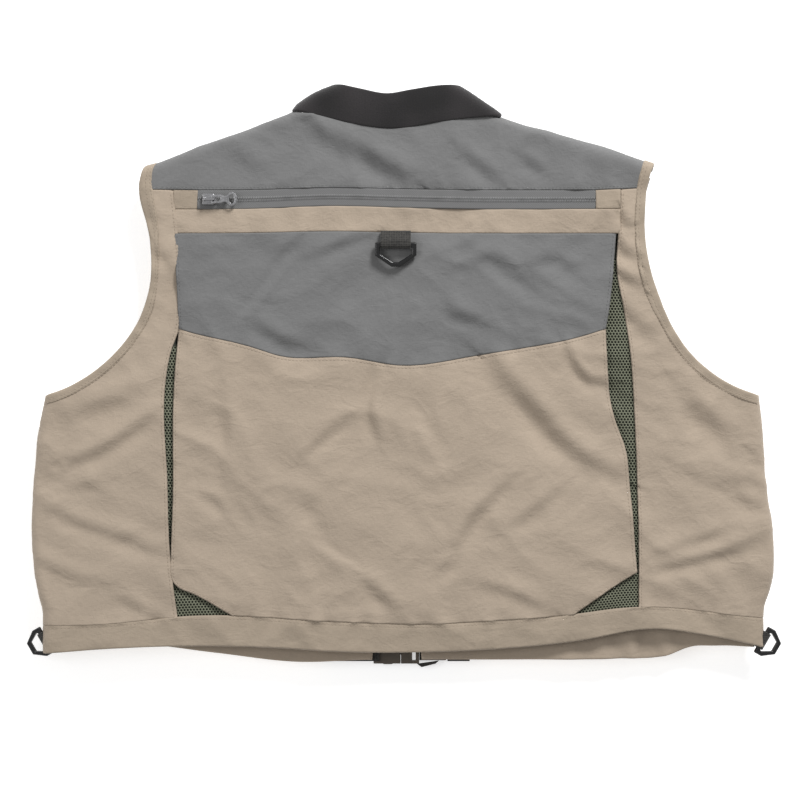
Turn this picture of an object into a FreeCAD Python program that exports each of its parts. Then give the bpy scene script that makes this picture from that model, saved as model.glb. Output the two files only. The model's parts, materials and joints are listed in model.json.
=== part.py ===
import FreeCAD, Part
import os
import Sketcher

# A fishing vest lying flat on its front: back upwards (+Z), collar towards +Y, wearer's left at -X.
# It is built from the outline of its cloth panels. Every place is a corner of an outline, given in the
# terms of the sheet below, and both sides of the vest come from the same corners, mirrored.

doc = FreeCAD.newDocument("FishingVest")
dims = doc.addObject("Spreadsheet::Sheet", "dims")

SIZES = [
    # centre line of the vest as it lies, which leans a little from hem to collar
    ("lean_top", -6, "X of the centre line at the collar, yoke and rear pocket"),
    ("lean_pit", -2, "X of the centre line at the armpits"),
    ("lean_hem", 0, "X of the centre line at the hem"),
    # collar and shoulders
    ("collar_half", 88, "half width of the collar at its seam"),
    ("collar_seam_y", 220, "ends of the collar seam"),
    ("collar_seam_bow", 11.5, "sag of the collar seam at the back"),
    ("peak_half", 50, "where the collar turns to the front"),
    ("peak_y", 246.5, "top of the collar"),
    ("dip_y", 238, "top of the collar at the spine"),
    ("collar_cloth", 3, "thickness of the padded collar"),
    ("collar_height", 36, "height of the collar at the front zip"),
    ("neck_y", 135, "where the front zip starts at the neck"),
    ("neck_bow", 20, "curve of the front neckline"),
    ("tip_half", 217.5, "half width at the shoulder tips"),
    ("tip_y", 175, "shoulder tips"),
    # armholes and sides
    ("arm_top_half", 211, "armhole at the yoke seam"),
    ("arm_top_bow", 0.8, "curve of the armhole above the yoke seam"),
    ("arm_mid_half", 219, "armhole where it turns outwards"),
    ("arm_mid_y", 58, "height of that turn"),
    ("arm_mid_bow", 5.5, "curve of the armhole beside the pocket"),
    ("front_arm_half", 204, "front armhole at the front yoke seam"),
    ("pit_half", 302, "half width at the armpits"),
    ("pit_y", -17, "armpits"),
    ("pit_bow", 14, "curve of the armhole down to the armpit"),
    ("side_half", 304.5, "half width low on the side seam"),
    ("side_y", -195, "low point of the side seam"),
    ("side_bow", 8.5, "swell of the side seam"),
    ("binding", 8.5, "width of the armhole binding"),
    ("binding_cloth", 0.8, "thickness of the armhole binding"),
    # hem
    ("hem_half", 305, "half width at the hem"),
    ("hem_seam_y", -207, "top of the hem band"),
    ("hem_y", -232, "bottom of the back hem"),
    ("front_drop", 8.5, "how much lower the front hem lies at the centre"),
    ("gap_half", 21, "half of the gap between the front corners at the hem"),
    ("corner_y", -168, "bottom of the front zip, where the corners part"),
    # yoke, rear zip and rear pocket
    ("yoke_y", 156.3, "seam between the yoke and the rear zip"),
    ("tape_width", 16, "both tapes of a zip together"),
    ("tab_inner", 168, "half length of the rear zip between its end tabs"),
    ("tab_outer", 189, "half width over the end tabs"),
    ("strip_y", 119.8, "bottom of the strip under the rear zip"),
    ("pocket_top_half", 187.5, "half width of the rear pocket at the strip"),
    ("pocket_mid_half", 181, "half width of the rear pocket at its colour seam"),
    ("pocket_mid_y", 39, "ends of the colour seam"),
    ("pocket_mid_bow", 31, "sag of the colour seam"),
    ("pocket_low_half", 195.5, "half width of the rear pocket low down"),
    ("pocket_low_y", -165, "where the pocket's corner starts"),
    ("pocket_turn_half", 183, "end of the rounded corner"),
    ("pocket_turn_y", -184, "end of the rounded corner"),
    ("pocket_turn_bow", 4, "rounding of the corner"),
    ("pocket_foot_half", 143, "where the pocket's slant meets the hem seam"),
    ("panel_foot_half", 197, "inner edge of the side panel at the hem seam"),
    ("panel_bow", 4, "curve of the side panel's inner edge"),
    ("mesh_top_half", 196, "half width of the mesh at the yoke"),
    ("mesh_half", 205, "half width of the mesh lower down"),
    ("mesh_turn_y", -20, "height of that change"),
    ("rim", 7, "width of the mesh panel's rim"),
    # levels
    ("cloth", 1.5, "thickness of a doubled cloth panel"),
    ("pouch_level", 2.8, "outer face of the lower pocket under its flap"),
    ("flap_level", 0.6, "outer face of a pocket flap"),
    ("patch", 0.7, "thickness of a hook or loop patch"),
    ("front_level", 14, "outer face of the front panels"),
    ("mesh_level", 22, "inner face of the mesh"),
    ("mesh_cloth", 1, "thickness of the mesh"),
    ("back_level", 28, "inner face of the back panels"),
    ("hem_cloth", 2.5, "thickness of the turned hem"),
    # front yoke, pockets and zip
    ("front_yoke_y", 110, "seam under the front yoke"),
    ("front_tape", 12, "width of one front zip tape"),
    ("chest_inner", 40, "inner side of the chest pocket"),
    ("chest_outer", 160, "outer side of the chest pocket"),
    ("chest_top", 104, "top of the chest pocket"),
    ("chest_step", 74, "where the chest pocket steps out below its zip"),
    ("chest_foot", 8, "bottom of the chest pocket"),
    ("chest_level", 8.6, "outer face of the chest pocket at its zip"),
    ("chest_zip_y", 89, "centre line of the chest zip"),
    ("chest_zip_margin", 8, "cloth between the chest zip's ends and the pocket's sides"),
    ("low_inner", 38, "inner side of the lower pocket"),
    ("low_outer", 200, "outer side of the lower pocket"),
    ("low_top", -34, "mouth of the lower pocket"),
    ("low_step", -96, "where the lower pocket steps out below its flap"),
    ("low_foot", -196, "bottom of the lower pocket"),
    ("flap_overlap", 3, "how far a flap reaches past the pocket's sides"),
    ("flap_top", -26, "seam of the flap"),
    ("flap_riser", 1.2, "thickness of the flap where it stands off the panel"),
    ("flap_corner", 14, "slant of the flap's corners"),
    ("patch_half", 30, "half length of a hook or loop patch"),
    ("patch_top", -66, "top of the hook and loop patches"),
    ("patch_height", 20, "height of a hook or loop patch"),
    # zip chains and sliders
    ("coil_width", 5, "width of a closed zip coil"),
    ("coil_height", 1.5, "thickness of a zip coil"),
    ("slider_length", 12, "length of a slider body"),
    ("slider_width", 9, "width of a slider body"),
    ("slider_foot", 0.3, "clearance under a slider"),
    ("slider_top", 3.4, "top of a slider body above its tape"),
    ("bridge_width", 2.2, "width of the bridge that holds the pull"),
    ("bridge_half", 4.6, "half length of the bridge"),
    ("bridge_leg", 1.5, "thickness of the bridge's legs and top"),
    ("bridge_rise", 3.8, "height of the bridge above the slider body"),
    ("pull_length", 21.5, "length of a pull from its hinge bar"),
    ("pull_width", 8, "width of a pull"),
    ("pull_cloth", 1.2, "thickness of a pull"),
    ("pull_window", 3.6, "width of the window around the bridge"),
    ("pull_window_end", 7, "end of that window"),
    ("pull_bar", 0.6, "half thickness of the pull's hinge bar"),
    ("hinge_gap", 0.5, "clearance around that bar in the bridge"),
    ("eye_start", 13.5, "start of the eye at the pull's end"),
    ("eye_half", 2, "half width of that eye"),
    # rings and their webbing loops
    ("web", 1.2, "thickness of the webbing"),
    ("web_eye", 2.6, "inner radius of a webbing loop"),
    ("rear_web_width", 25.4, "one inch webbing at the rear ring"),
    ("side_web_width", 15, "webbing of the side rings"),
    ("rear_web_tail", 12, "length of the sewn end of the rear loop"),
    ("side_web_tail", 7, "length of the sewn end of a side loop"),
    ("zip_slot", 6, "slit behind the chest zip"),
    ("rod", 4, "thickness of a ring"),
    ("rod_round", 1.2, "rounding of a ring's edges"),
    ("rear_ring_width", 35, "width of the rear ring"),
    ("rear_ring_side", 9, "length of its straight sides"),
    ("rear_ring_drop", 18.5, "from its bar to its far edge"),
    ("rear_ring_foot", 7.5, "width of its far edge"),
    ("rear_ring_tilt", 5, "how far the ring droops on the pocket, in degrees"),
    ("side_ring_width", 25, "width of a side ring"),
    ("side_ring_side", 6, "length of its straight sides"),
    ("side_ring_drop", 18, "from its bar to its far edge"),
    ("side_ring_foot", 11, "width of its far edge"),
    ("side_ring_tilt", 28, "how far a side ring droops, in degrees"),
    ("side_ring_turn", 60, "heading of a side ring's bar, in degrees"),
    ("side_ring_x", 304.5, "distance of a side ring's bar from the middle"),
    ("side_ring_y", -225, "place of a side ring along the side"),
    ("side_ring_z", 21.2, "height of a side ring's bar"),
    # buckle of the front hem
    ("buckle_y", -235, "centre line of the buckle"),
    ("buckle_half", 11, "half width of the buckle"),
    ("buckle_low", 3, "outer face of the buckle"),
    ("buckle_high", 11, "inner face of the buckle"),
    ("buckle_wall", 1.6, "wall of the buckle socket"),
    ("socket_back", -20, "closed end of the socket"),
    ("socket_mouth", 3, "open end of the socket"),
    ("plug_end", 19, "outer end of the plug"),
    ("prong_length", 17, "length of a prong"),
    ("prong_width", 3, "width of a prong"),
    ("tongue_half", 3.2, "half width of the middle tongue"),
    ("strap_half", 8.6, "half width of the hem straps"),
    ("strap_reach", 62, "where the hem straps are sewn to the panels"),
    ("strap_tail_y", -249.5, "tip of the strap's free tail"),
]
for row, (alias, number, meaning) in enumerate(SIZES, start=1):
    dims.set(f"A{row}", alias)
    dims.set(f"B{row}", str(number))
    dims.setAlias(f"B{row}", alias)
    dims.set(f"C{row}", meaning)
doc.recompute()

parts = []
SIDES = (("left", -1), ("right", 1))


# ---------------------------------------------------------------- drawing helpers
def value(expression):
    """Work out an expression in the sheet's terms, as a number of millimetres or degrees."""
    result = doc.getObject("probe").evalExpression(expression)
    return float(getattr(result, "Value", result))


probe = doc.addObject("App::FeaturePython", "probe")


def bowed(start, end, swell):
    """Arc from start to end that swells to the left of its direction."""
    run = end - start
    left = FreeCAD.Vector(-run.y, run.x, 0) / run.Length
    return Part.Arc(start, (start + end) / 2 + left * swell, end)


def draw_loop(sketch, corners):
    """Draw one closed loop. A corner is (x, y), or (x, y, bow) if the edge that leaves it is an arc."""
    points = [FreeCAD.Vector(value(corner[0]), value(corner[1]), 0) for corner in corners]
    edges = []
    for index, corner in enumerate(corners):
        start = points[index]
        end = points[(index + 1) % len(points)]
        shape = bowed(start, end, value(corner[2])) if len(corner) == 3 else Part.LineSegment(start, end)
        edges.append(sketch.addGeometry(shape))
    for index, corner in enumerate(corners):
        leaving = edges[index]
        arriving = edges[index - 1]
        here = nearer_end(sketch, leaving, points[index])
        there = nearer_end(sketch, arriving, points[index])
        sketch.addConstraint(Sketcher.Constraint("Coincident", arriving, there, leaving, here))
        bind(sketch, Sketcher.Constraint("DistanceX", -1, 1, leaving, here, value(corner[0])), corner[0])
        bind(sketch, Sketcher.Constraint("DistanceY", -1, 1, leaving, here, value(corner[1])), corner[1])
    for index, corner in enumerate(corners):
        if len(corner) == 3:
            after = corners[(index + 1) % len(corners)]
            width = f"(({after[0]}) - ({corner[0]}))"
            height = f"(({after[1]}) - ({corner[1]}))"
            radius = f"({width}^2 + {height}^2) / (8 * abs({corner[2]})) + abs({corner[2]}) / 2"
            bind(sketch, Sketcher.Constraint("Radius", edges[index], value(radius)), radius)


def nearer_end(sketch, edge, point):
    """Which end of an edge, 1 or 2, lies on the point."""
    return 1 if (sketch.getPoint(edge, 1) - point).Length < (sketch.getPoint(edge, 2) - point).Length else 2


def bind(sketch, constraint, expression):
    """Add a constraint whose size follows the sheet."""
    index = sketch.addConstraint(constraint)
    sketch.setExpression(f"Constraints[{index}]", expression)


def new_body(name):
    """A sub-part, which becomes one node."""
    body = doc.addObject("PartDesign::Body", name)
    body.Label = name
    parts.append(body)
    return body


def new_sketch(body, loops, level, role):
    """Sketch of closed loops on one of the body's own planes, raised to a level."""
    sketch = body.newObject("Sketcher::SketchObject", body.Name + "_sketch")
    plane = next(item for item in body.Origin.OriginFeatures if item.Role == role)
    sketch.AttachmentSupport = [(plane, "")]
    sketch.MapMode = "FlatFace"
    sketch.setExpression("AttachmentOffset.Base.z", level)
    for corners in loops:
        draw_loop(sketch, corners)
    return sketch


def pad(body, loops, bottom, height, role="XY_Plane", both_ways=False):
    """Add the loops' area, from the bottom level up."""
    feature = body.newObject("PartDesign::Pad", body.Name + "_pad")
    feature.Profile = new_sketch(body, loops, bottom, role)
    feature.setExpression("Length", height)
    if both_ways:
        feature.SideType = "Symmetric"
    return feature


def cut(body, loops, top, depth):
    """Take the loops' area away, from the top level down."""
    before = settle(body)
    feature = body.newObject("PartDesign::Pocket", body.Name + "_cut")
    feature.Profile = new_sketch(body, loops, top, "XY_Plane")
    feature.setExpression("Length", depth)
    if settle(body) > before - 1:
        raise RuntimeError(f"{feature.Name} takes nothing away")
    return feature


def settle(body):
    """Recompute, and give the body's volume."""
    doc.recompute()
    return body.Shape.Volume


def plate(name, corners, bottom, height):
    """Sub-part that is one flat piece of cloth or webbing."""
    body = new_body(name)
    pad(body, [corners], bottom, height)
    return body


def at(side, half, height, lean="lean_top", bow=None):
    """Corner on one side of the centre line. A bow is mirrored with its side."""
    corner = (f"dims.{lean} + {side} * ({half})", height)
    return corner if bow is None else corner + (f"{side} * ({bow})",)


def rectangle(left, bottom, right, top):
    return [(left, bottom), (right, bottom), (right, top), (left, top)]


def place(body, x, y, z, rotation=FreeCAD.Rotation()):
    """Put a body that was drawn about its own origin in its place."""
    body.Placement = FreeCAD.Placement(FreeCAD.Vector(value(x), value(y), value(z)), rotation)
    for axis, expression in (("x", x), ("y", y), ("z", z)):
        body.setExpression(f"Placement.Base.{axis}", expression)


def turned(about_z, about_x):
    """Tilt about X first, then turn about Z."""
    tilt = FreeCAD.Rotation(FreeCAD.Vector(1, 0, 0), about_x)
    return FreeCAD.Rotation(FreeCAD.Vector(0, 0, 1), about_z) * tilt


BACK_TOP = "dims.back_level + dims.cloth"
FRONT_TOP = "dims.front_level + dims.cloth"
WALL = "dims.back_level - dims.front_level - dims.cloth"


# ---------------------------------------------------------------- back of the vest
def make_collar():
    """Stand collar, flattened: back, two front halves and the folds at its sides."""
    body = new_body("collar")
    back = [
        at(-1, "dims.collar_half", "dims.collar_seam_y") + ("-dims.collar_seam_bow",),
        at(1, "dims.collar_half", "dims.collar_seam_y"),
        at(1, "dims.peak_half", "dims.peak_y") + ("-2",),
        at(1, "0", "dims.dip_y") + ("-2",),
        at(-1, "dims.peak_half", "dims.peak_y"),
    ]
    pad(body, [back], "dims.back_level", "dims.collar_cloth")
    for _, side in SIDES:
        fold = [
            at(side, "dims.collar_half", "dims.collar_seam_y"),
            at(side, "dims.peak_half", "dims.peak_y"),
            at(side, "dims.peak_half - 2", "dims.peak_y - 4"),
            at(side, "dims.collar_half - 5", "dims.collar_seam_y - 1"),
        ]
        pad(body, [fold], FRONT_TOP, WALL + " + 1")
    for _, side in SIDES:
        front = [
            at(side, "dims.collar_half", "dims.collar_seam_y", bow="-dims.neck_bow"),
            at(side, "dims.front_tape", "dims.neck_y"),
            at(side, "1", "dims.neck_y + 2"),
            at(side, "1", "dims.neck_y + dims.collar_height", bow="12"),
            at(side, "dims.peak_half", "dims.peak_y"),
        ]
        pad(body, [front], FRONT_TOP + " - dims.collar_cloth", "dims.collar_cloth")


def make_yoke():
    """Yoke across the shoulders, with its folds over the shoulder lines."""
    body = new_body("yoke_back")
    outline = [at(-1, "dims.collar_half", "dims.collar_seam_y") + ("-dims.collar_seam_bow",)]
    outline += [
        at(1, "dims.collar_half", "dims.collar_seam_y"),
        at(1, "dims.tip_half", "dims.tip_y", bow="-dims.arm_top_bow"),
        at(1, "dims.arm_top_half", "dims.yoke_y"),
        at(-1, "dims.arm_top_half", "dims.yoke_y") + ("-dims.arm_top_bow",),
        at(-1, "dims.tip_half", "dims.tip_y"),
    ]
    pad(body, [outline], "dims.back_level", "dims.cloth")
    for _, side in SIDES:
        fold = [
            at(side, "dims.collar_half", "dims.collar_seam_y"),
            at(side, "dims.tip_half", "dims.tip_y"),
            at(side, "dims.tip_half - 0.5", "dims.tip_y - 1.5"),
            at(side, "dims.collar_half", "dims.collar_seam_y - 1.6"),
        ]
        pad(body, [fold], FRONT_TOP, WALL + " + 1")


def make_side_panel(name, side):
    """Panel between armhole, side seam and mesh, folded round the side to the front."""
    body = new_body(f"side_panel_{name}")
    outline = [
        at(side, "dims.arm_top_half", "dims.yoke_y", bow="-dims.arm_mid_bow"),
        at(side, "dims.arm_mid_half", "dims.arm_mid_y", bow="-dims.pit_bow"),
        at(side, "dims.pit_half", "dims.pit_y", "lean_pit", "dims.side_bow"),
        at(side, "dims.side_half", "dims.side_y", "lean_hem"),
        at(side, "dims.hem_half", "dims.hem_seam_y", "lean_hem"),
        at(side, "dims.panel_foot_half", "dims.hem_seam_y", "lean_hem", "-dims.panel_bow"),
        at(side, "dims.tab_outer", "dims.yoke_y"),
    ]
    pad(body, [outline], "dims.back_level", "dims.cloth")
    fold = [
        at(side, "dims.pit_half", "dims.pit_y", "lean_pit", "dims.side_bow"),
        at(side, "dims.side_half", "dims.side_y", "lean_hem"),
        at(side, "dims.hem_half", "dims.hem_seam_y", "lean_hem"),
        at(side, "dims.hem_half - dims.cloth", "dims.hem_seam_y", "lean_hem"),
        at(side, "dims.side_half - dims.cloth", "dims.side_y", "lean_hem", "-dims.side_bow"),
        at(side, "dims.pit_half - dims.cloth", "dims.pit_y - dims.cloth", "lean_pit"),
    ]
    pad(body, [fold], FRONT_TOP, WALL + " + 1")


def make_armhole_binding(name, side):
    """Bias binding on the back edge of an armhole."""
    inner = "dims.binding"
    corners = [
        at(side, "dims.tip_half", "dims.tip_y", bow="-dims.arm_top_bow"),
        at(side, "dims.arm_top_half", "dims.yoke_y", bow="-dims.arm_mid_bow"),
        at(side, "dims.arm_mid_half", "dims.arm_mid_y", bow="-dims.pit_bow"),
        at(side, "dims.pit_half", "dims.pit_y", "lean_pit"),
        at(side, "dims.pit_half - 1", f"dims.pit_y - {inner}", "lean_pit", "dims.pit_bow"),
        at(side, f"dims.arm_mid_half - 0.85 * {inner}", "dims.arm_mid_y - 4", bow="dims.arm_mid_bow"),
        at(side, f"dims.arm_top_half - {inner}", "dims.yoke_y", bow="dims.arm_top_bow"),
        at(side, f"dims.tip_half - {inner}", "dims.tip_y + 2.9"),
    ]
    plate(f"armhole_binding_back_{name}", corners, BACK_TOP, "dims.binding_cloth")


def make_mesh():
    """Ventilated back under the rear pocket: a net in a raised rim that holds it to the panels."""
    body = new_body("back_mesh")
    top = "dims.yoke_y - 0.5"
    foot = "dims.hem_seam_y"
    outline = [
        at(1, "dims.mesh_half", foot),
        at(1, "dims.mesh_half", "dims.mesh_turn_y"),
        at(1, "dims.mesh_top_half", top),
        at(-1, "dims.mesh_top_half", top),
        at(-1, "dims.mesh_half", "dims.mesh_turn_y"),
        at(-1, "dims.mesh_half", foot),
    ]
    inside = [
        at(1, "dims.mesh_half - dims.rim", f"{foot} + 1.5"),
        at(1, "dims.mesh_half - dims.rim", "dims.mesh_turn_y"),
        at(1, "dims.mesh_top_half - dims.rim", f"{top} - dims.rim / 2"),
        at(-1, "dims.mesh_top_half - dims.rim", f"{top} - dims.rim / 2"),
        at(-1, "dims.mesh_half - dims.rim", "dims.mesh_turn_y"),
        at(-1, "dims.mesh_half - dims.rim", f"{foot} + 1.5"),
    ]
    pad(body, [outline], "dims.mesh_level", "dims.back_level - dims.mesh_level")
    cut(body, [inside], "dims.back_level", "dims.back_level - dims.mesh_level - dims.mesh_cloth")


def make_rear_zip():
    """Tapes, end tabs, coil and strip between the yoke and the rear pocket."""
    tape_foot = "dims.yoke_y - dims.tape_width"
    middle = "dims.yoke_y - dims.tape_width / 2"
    body = new_body("rear_zip_tape")
    left = "dims.lean_top - dims.tab_inner"
    right = "dims.lean_top + dims.tab_inner"
    loops = [
        rectangle(left, tape_foot, right, f"{middle} - 0.2"),
        rectangle(left, f"{middle} + 0.2", right, "dims.yoke_y"),
    ]
    pad(body, loops, "dims.back_level", "dims.cloth")
    for name, side in SIDES:
        tab = [
            at(side, "dims.tab_inner", tape_foot),
            at(side, "dims.tab_outer", tape_foot),
            at(side, "dims.tab_outer", "dims.yoke_y"),
            at(side, "dims.tab_inner", "dims.yoke_y"),
        ]
        plate(f"rear_zip_tab_{name}", tab, "dims.back_level", "dims.cloth")
    coil = rectangle(left, f"{middle} - dims.coil_width / 2", right, f"{middle} + dims.coil_width / 2")
    plate("rear_zip_coil", coil, BACK_TOP, "dims.coil_height")
    strip = rectangle(
        "dims.lean_top - dims.tab_outer", "dims.strip_y", "dims.lean_top + dims.tab_outer", tape_foot
    )
    plate("rear_pocket_strip", strip, "dims.back_level", "dims.cloth")


def make_rear_pocket():
    """Outer wall of the rear pocket in two colours, free at its sides, sewn down at strip and hem."""
    upper = [
        at(-1, "dims.pocket_top_half", "dims.strip_y"),
        at(-1, "dims.pocket_mid_half", "dims.pocket_mid_y") + ("-dims.pocket_mid_bow",),
        at(1, "dims.pocket_mid_half", "dims.pocket_mid_y"),
        at(1, "dims.pocket_top_half", "dims.strip_y"),
    ]
    plate("rear_pocket_upper", upper, "dims.back_level", "dims.cloth")
    lower = [
        at(1, "dims.pocket_mid_half", "dims.pocket_mid_y") + ("dims.pocket_mid_bow",),
        at(-1, "dims.pocket_mid_half", "dims.pocket_mid_y"),
        at(-1, "dims.pocket_low_half", "dims.pocket_low_y", "lean_pit", "dims.pocket_turn_bow"),
        at(-1, "dims.pocket_turn_half", "dims.pocket_turn_y", "lean_pit"),
        at(-1, "dims.pocket_foot_half", "dims.hem_seam_y", "lean_pit"),
        at(1, "dims.pocket_foot_half", "dims.hem_seam_y", "lean_pit"),
        at(1, "dims.pocket_turn_half", "dims.pocket_turn_y", "lean_pit", "-dims.pocket_turn_bow"),
        at(1, "dims.pocket_low_half", "dims.pocket_low_y", "lean_pit"),
    ]
    plate("rear_pocket_lower", lower, "dims.back_level", "dims.cloth")


def make_back_hem():
    """Hem band of the back. Its ends stay open above the front's, and hold the side rings' webbing."""
    band = [
        at(-1, "dims.hem_half", "dims.hem_seam_y", "lean_hem"),
        at(-1, "dims.hem_half", "dims.hem_y", "lean_hem"),
        at(1, "dims.hem_half", "dims.hem_y", "lean_hem"),
        at(1, "dims.hem_half", "dims.hem_seam_y", "lean_hem"),
    ]
    plate("hem_band_back", band, BACK_TOP + " + 0.5 - dims.hem_cloth", "dims.hem_cloth")


# ---------------------------------------------------------------- front of the vest
FRONT_HEM_SEAM = "dims.hem_seam_y - dims.front_drop"


def make_front_panel(name, side):
    """Front below the yoke, one each side of the zip, with its lower corner cut away."""
    corners = [
        at(side, "dims.front_tape", "dims.front_yoke_y"),
        at(side, "dims.front_arm_half", "dims.front_yoke_y", bow="-3"),
        at(side, "dims.arm_mid_half - 4", "dims.arm_mid_y - 6", bow="-dims.pit_bow"),
        at(side, "dims.pit_half", "dims.pit_y", "lean_pit", "dims.side_bow"),
        at(side, "dims.side_half", "dims.side_y", "lean_hem"),
        at(side, "dims.hem_half", "dims.hem_seam_y", "lean_hem"),
        at(side, "dims.gap_half - 2", FRONT_HEM_SEAM),
        at(side, "dims.front_tape", "dims.corner_y"),
    ]
    plate(f"front_panel_{name}", corners, "dims.front_level", "dims.cloth")


def make_front_yoke(name, side):
    """Front yoke between shoulder, armhole and neckline."""
    corners = [
        at(side, "dims.collar_half", "dims.collar_seam_y"),
        at(side, "dims.tip_half", "dims.tip_y", bow="-2"),
        at(side, "dims.front_arm_half", "dims.front_yoke_y"),
        at(side, "dims.front_tape", "dims.front_yoke_y"),
        at(side, "dims.front_tape", "dims.neck_y", bow="dims.neck_bow"),
    ]
    plate(f"front_yoke_{name}", corners, "dims.front_level", "dims.cloth")


def make_front_binding(name, side):
    """Bias binding on the front edge of an armhole."""
    inner = "dims.binding"
    corners = [
        at(side, "dims.tip_half", "dims.tip_y", bow="-2"),
        at(side, "dims.front_arm_half", "dims.front_yoke_y", bow="-3"),
        at(side, "dims.arm_mid_half - 4", "dims.arm_mid_y - 6", bow="-dims.pit_bow"),
        at(side, "dims.pit_half", "dims.pit_y", "lean_pit"),
        at(side, "dims.pit_half - 1", f"dims.pit_y - {inner}", "lean_pit", "dims.pit_bow"),
        at(side, f"dims.arm_mid_half - 4 - 0.85 * {inner}", "dims.arm_mid_y - 10", bow="3"),
        at(side, f"dims.front_arm_half - {inner}", "dims.front_yoke_y", bow="2"),
        at(side, f"dims.tip_half - {inner}", "dims.tip_y + 2.9"),
    ]
    level = "dims.front_level - dims.binding_cloth"
    plate(f"armhole_binding_front_{name}", corners, level, "dims.binding_cloth")


def make_front_hem(name, side):
    """Hem band of one front, which drops towards the middle."""
    corners = [
        at(side, "dims.hem_half", "dims.hem_seam_y", "lean_hem"),
        at(side, "dims.hem_half", "dims.hem_y", "lean_hem"),
        at(side, "dims.gap_half", "dims.hem_y - dims.front_drop"),
        at(side, "dims.gap_half - 2", FRONT_HEM_SEAM),
    ]
    plate(f"hem_band_front_{name}", corners, FRONT_TOP + " + 0.5 - dims.hem_cloth", "dims.hem_cloth")


def make_front_zip():
    """Tapes and coil of the front zip, from the neck down to the cut corners."""
    body = new_body("front_zip_tape")
    loops = []
    for _, side in SIDES:
        tape = [
            at(side, "0.2", "dims.corner_y"),
            at(side, "dims.front_tape", "dims.corner_y"),
            at(side, "dims.front_tape", "dims.neck_y"),
            at(side, "0.2", "dims.neck_y"),
        ]
        loops.append(tape)
    pad(body, loops, "dims.front_level", "dims.cloth")
    coil = rectangle(
        "dims.lean_top - dims.coil_width / 2", "dims.corner_y + 2",
        "dims.lean_top + dims.coil_width / 2", "dims.neck_y - 2",
    )
    plate("front_zip_coil", coil, "dims.front_level - dims.coil_height", "dims.coil_height")


def make_pouch(node, side, inner, outer, top, step, foot, level, open_top):
    """Pocket bag on the front: a hollow shell whose lower part bellows out to the lowest level."""
    def block(margin, upper, lower):
        return [
            at(side, f"{inner} + {margin}", lower),
            at(side, f"{outer} - {margin}", lower),
            at(side, f"{outer} - {margin}", upper),
            at(side, f"{inner} + {margin}", upper),
        ]
    body = new_body(node)
    pad(body, [block("0", step, foot)], "0", "dims.front_level")
    pad(body, [block("0", top, step)], level, f"dims.front_level - {level}")
    hollow_top = f"{top} + 1" if open_top else f"{top} - dims.cloth"
    cut(body, [block("dims.cloth", hollow_top, f"{step} - dims.cloth")], "dims.front_level",
        f"dims.front_level - {level} - dims.cloth")
    cut(body, [block("dims.cloth", f"{step} - dims.cloth", f"{foot} + dims.cloth")], "dims.front_level",
        "dims.front_level - dims.cloth")


def chest_zip_band(side, low, high):
    """Stretch of a chest pocket's zip between two heights from its centre line."""
    inner = "dims.chest_inner + dims.chest_zip_margin"
    outer = "dims.chest_outer - dims.chest_zip_margin"
    foot = f"dims.chest_zip_y + {low}"
    top = f"dims.chest_zip_y + {high}"
    return [at(side, inner, foot), at(side, outer, foot), at(side, outer, top), at(side, inner, top)]


def make_chest_pocket(name, side):
    """Chest pocket with a slit in its upper band, and the tapes and coil of the zip over it."""
    node = f"chest_pocket_{name}"
    make_pouch(node, side, "dims.chest_inner", "dims.chest_outer", "dims.chest_top", "dims.chest_step",
               "dims.chest_foot", "dims.chest_level", open_top=False)
    slit = chest_zip_band(side, "-dims.zip_slot / 2", "dims.zip_slot / 2")
    cut(doc.getObject(node), [slit], "dims.chest_level + dims.cloth + 0.5", "dims.cloth + 1")
    level = "dims.chest_level - dims.patch"
    tapes = new_body(f"chest_zip_tape_{name}")
    halves = [
        chest_zip_band(side, "-dims.tape_width / 2", "-0.2"),
        chest_zip_band(side, "0.2", "dims.tape_width / 2"),
    ]
    pad(tapes, halves, level, "dims.patch")
    coil = chest_zip_band(side, "-dims.coil_width / 2", "dims.coil_width / 2")
    plate(f"chest_zip_coil_{name}", coil, level + " - dims.coil_height", "dims.coil_height")


def make_flap(name, side):
    """Flap over a lower pocket, with the hook patch on it and the loop patch that it closes on."""
    inner = "dims.low_inner - dims.flap_overlap"
    outer = "dims.low_outer + dims.flap_overlap"
    foot = "dims.low_step + 3"
    corners = [
        at(side, inner, "dims.flap_top"),
        at(side, inner, f"{foot} + dims.flap_corner"),
        at(side, f"{inner} + dims.flap_corner", foot),
        at(side, f"{outer} - dims.flap_corner", foot),
        at(side, outer, f"{foot} + dims.flap_corner"),
        at(side, outer, "dims.flap_top"),
    ]
    patch_level = "dims.pouch_level - dims.patch"
    thickness = f"{patch_level} - dims.patch - dims.flap_level"
    flap = new_body(f"pocket_flap_{name}")
    pad(flap, [corners], "dims.flap_level", thickness)
    riser = [
        at(side, inner, "dims.flap_top - dims.flap_riser"), at(side, outer, "dims.flap_top - dims.flap_riser"),
        at(side, outer, "dims.flap_top"), at(side, inner, "dims.flap_top"),
    ]
    pad(flap, [riser], "dims.flap_level", "dims.front_level - 0.4 - dims.flap_level")
    middle = "(dims.low_inner + dims.low_outer) / 2"
    patch = [
        at(side, f"{middle} - dims.patch_half", "dims.patch_top - dims.patch_height"),
        at(side, f"{middle} + dims.patch_half", "dims.patch_top - dims.patch_height"),
        at(side, f"{middle} + dims.patch_half", "dims.patch_top"),
        at(side, f"{middle} - dims.patch_half", "dims.patch_top"),
    ]
    plate(f"hook_patch_{name}", patch, patch_level + " - dims.patch", "dims.patch")
    plate(f"loop_patch_{name}", patch, patch_level, "dims.patch")


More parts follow.
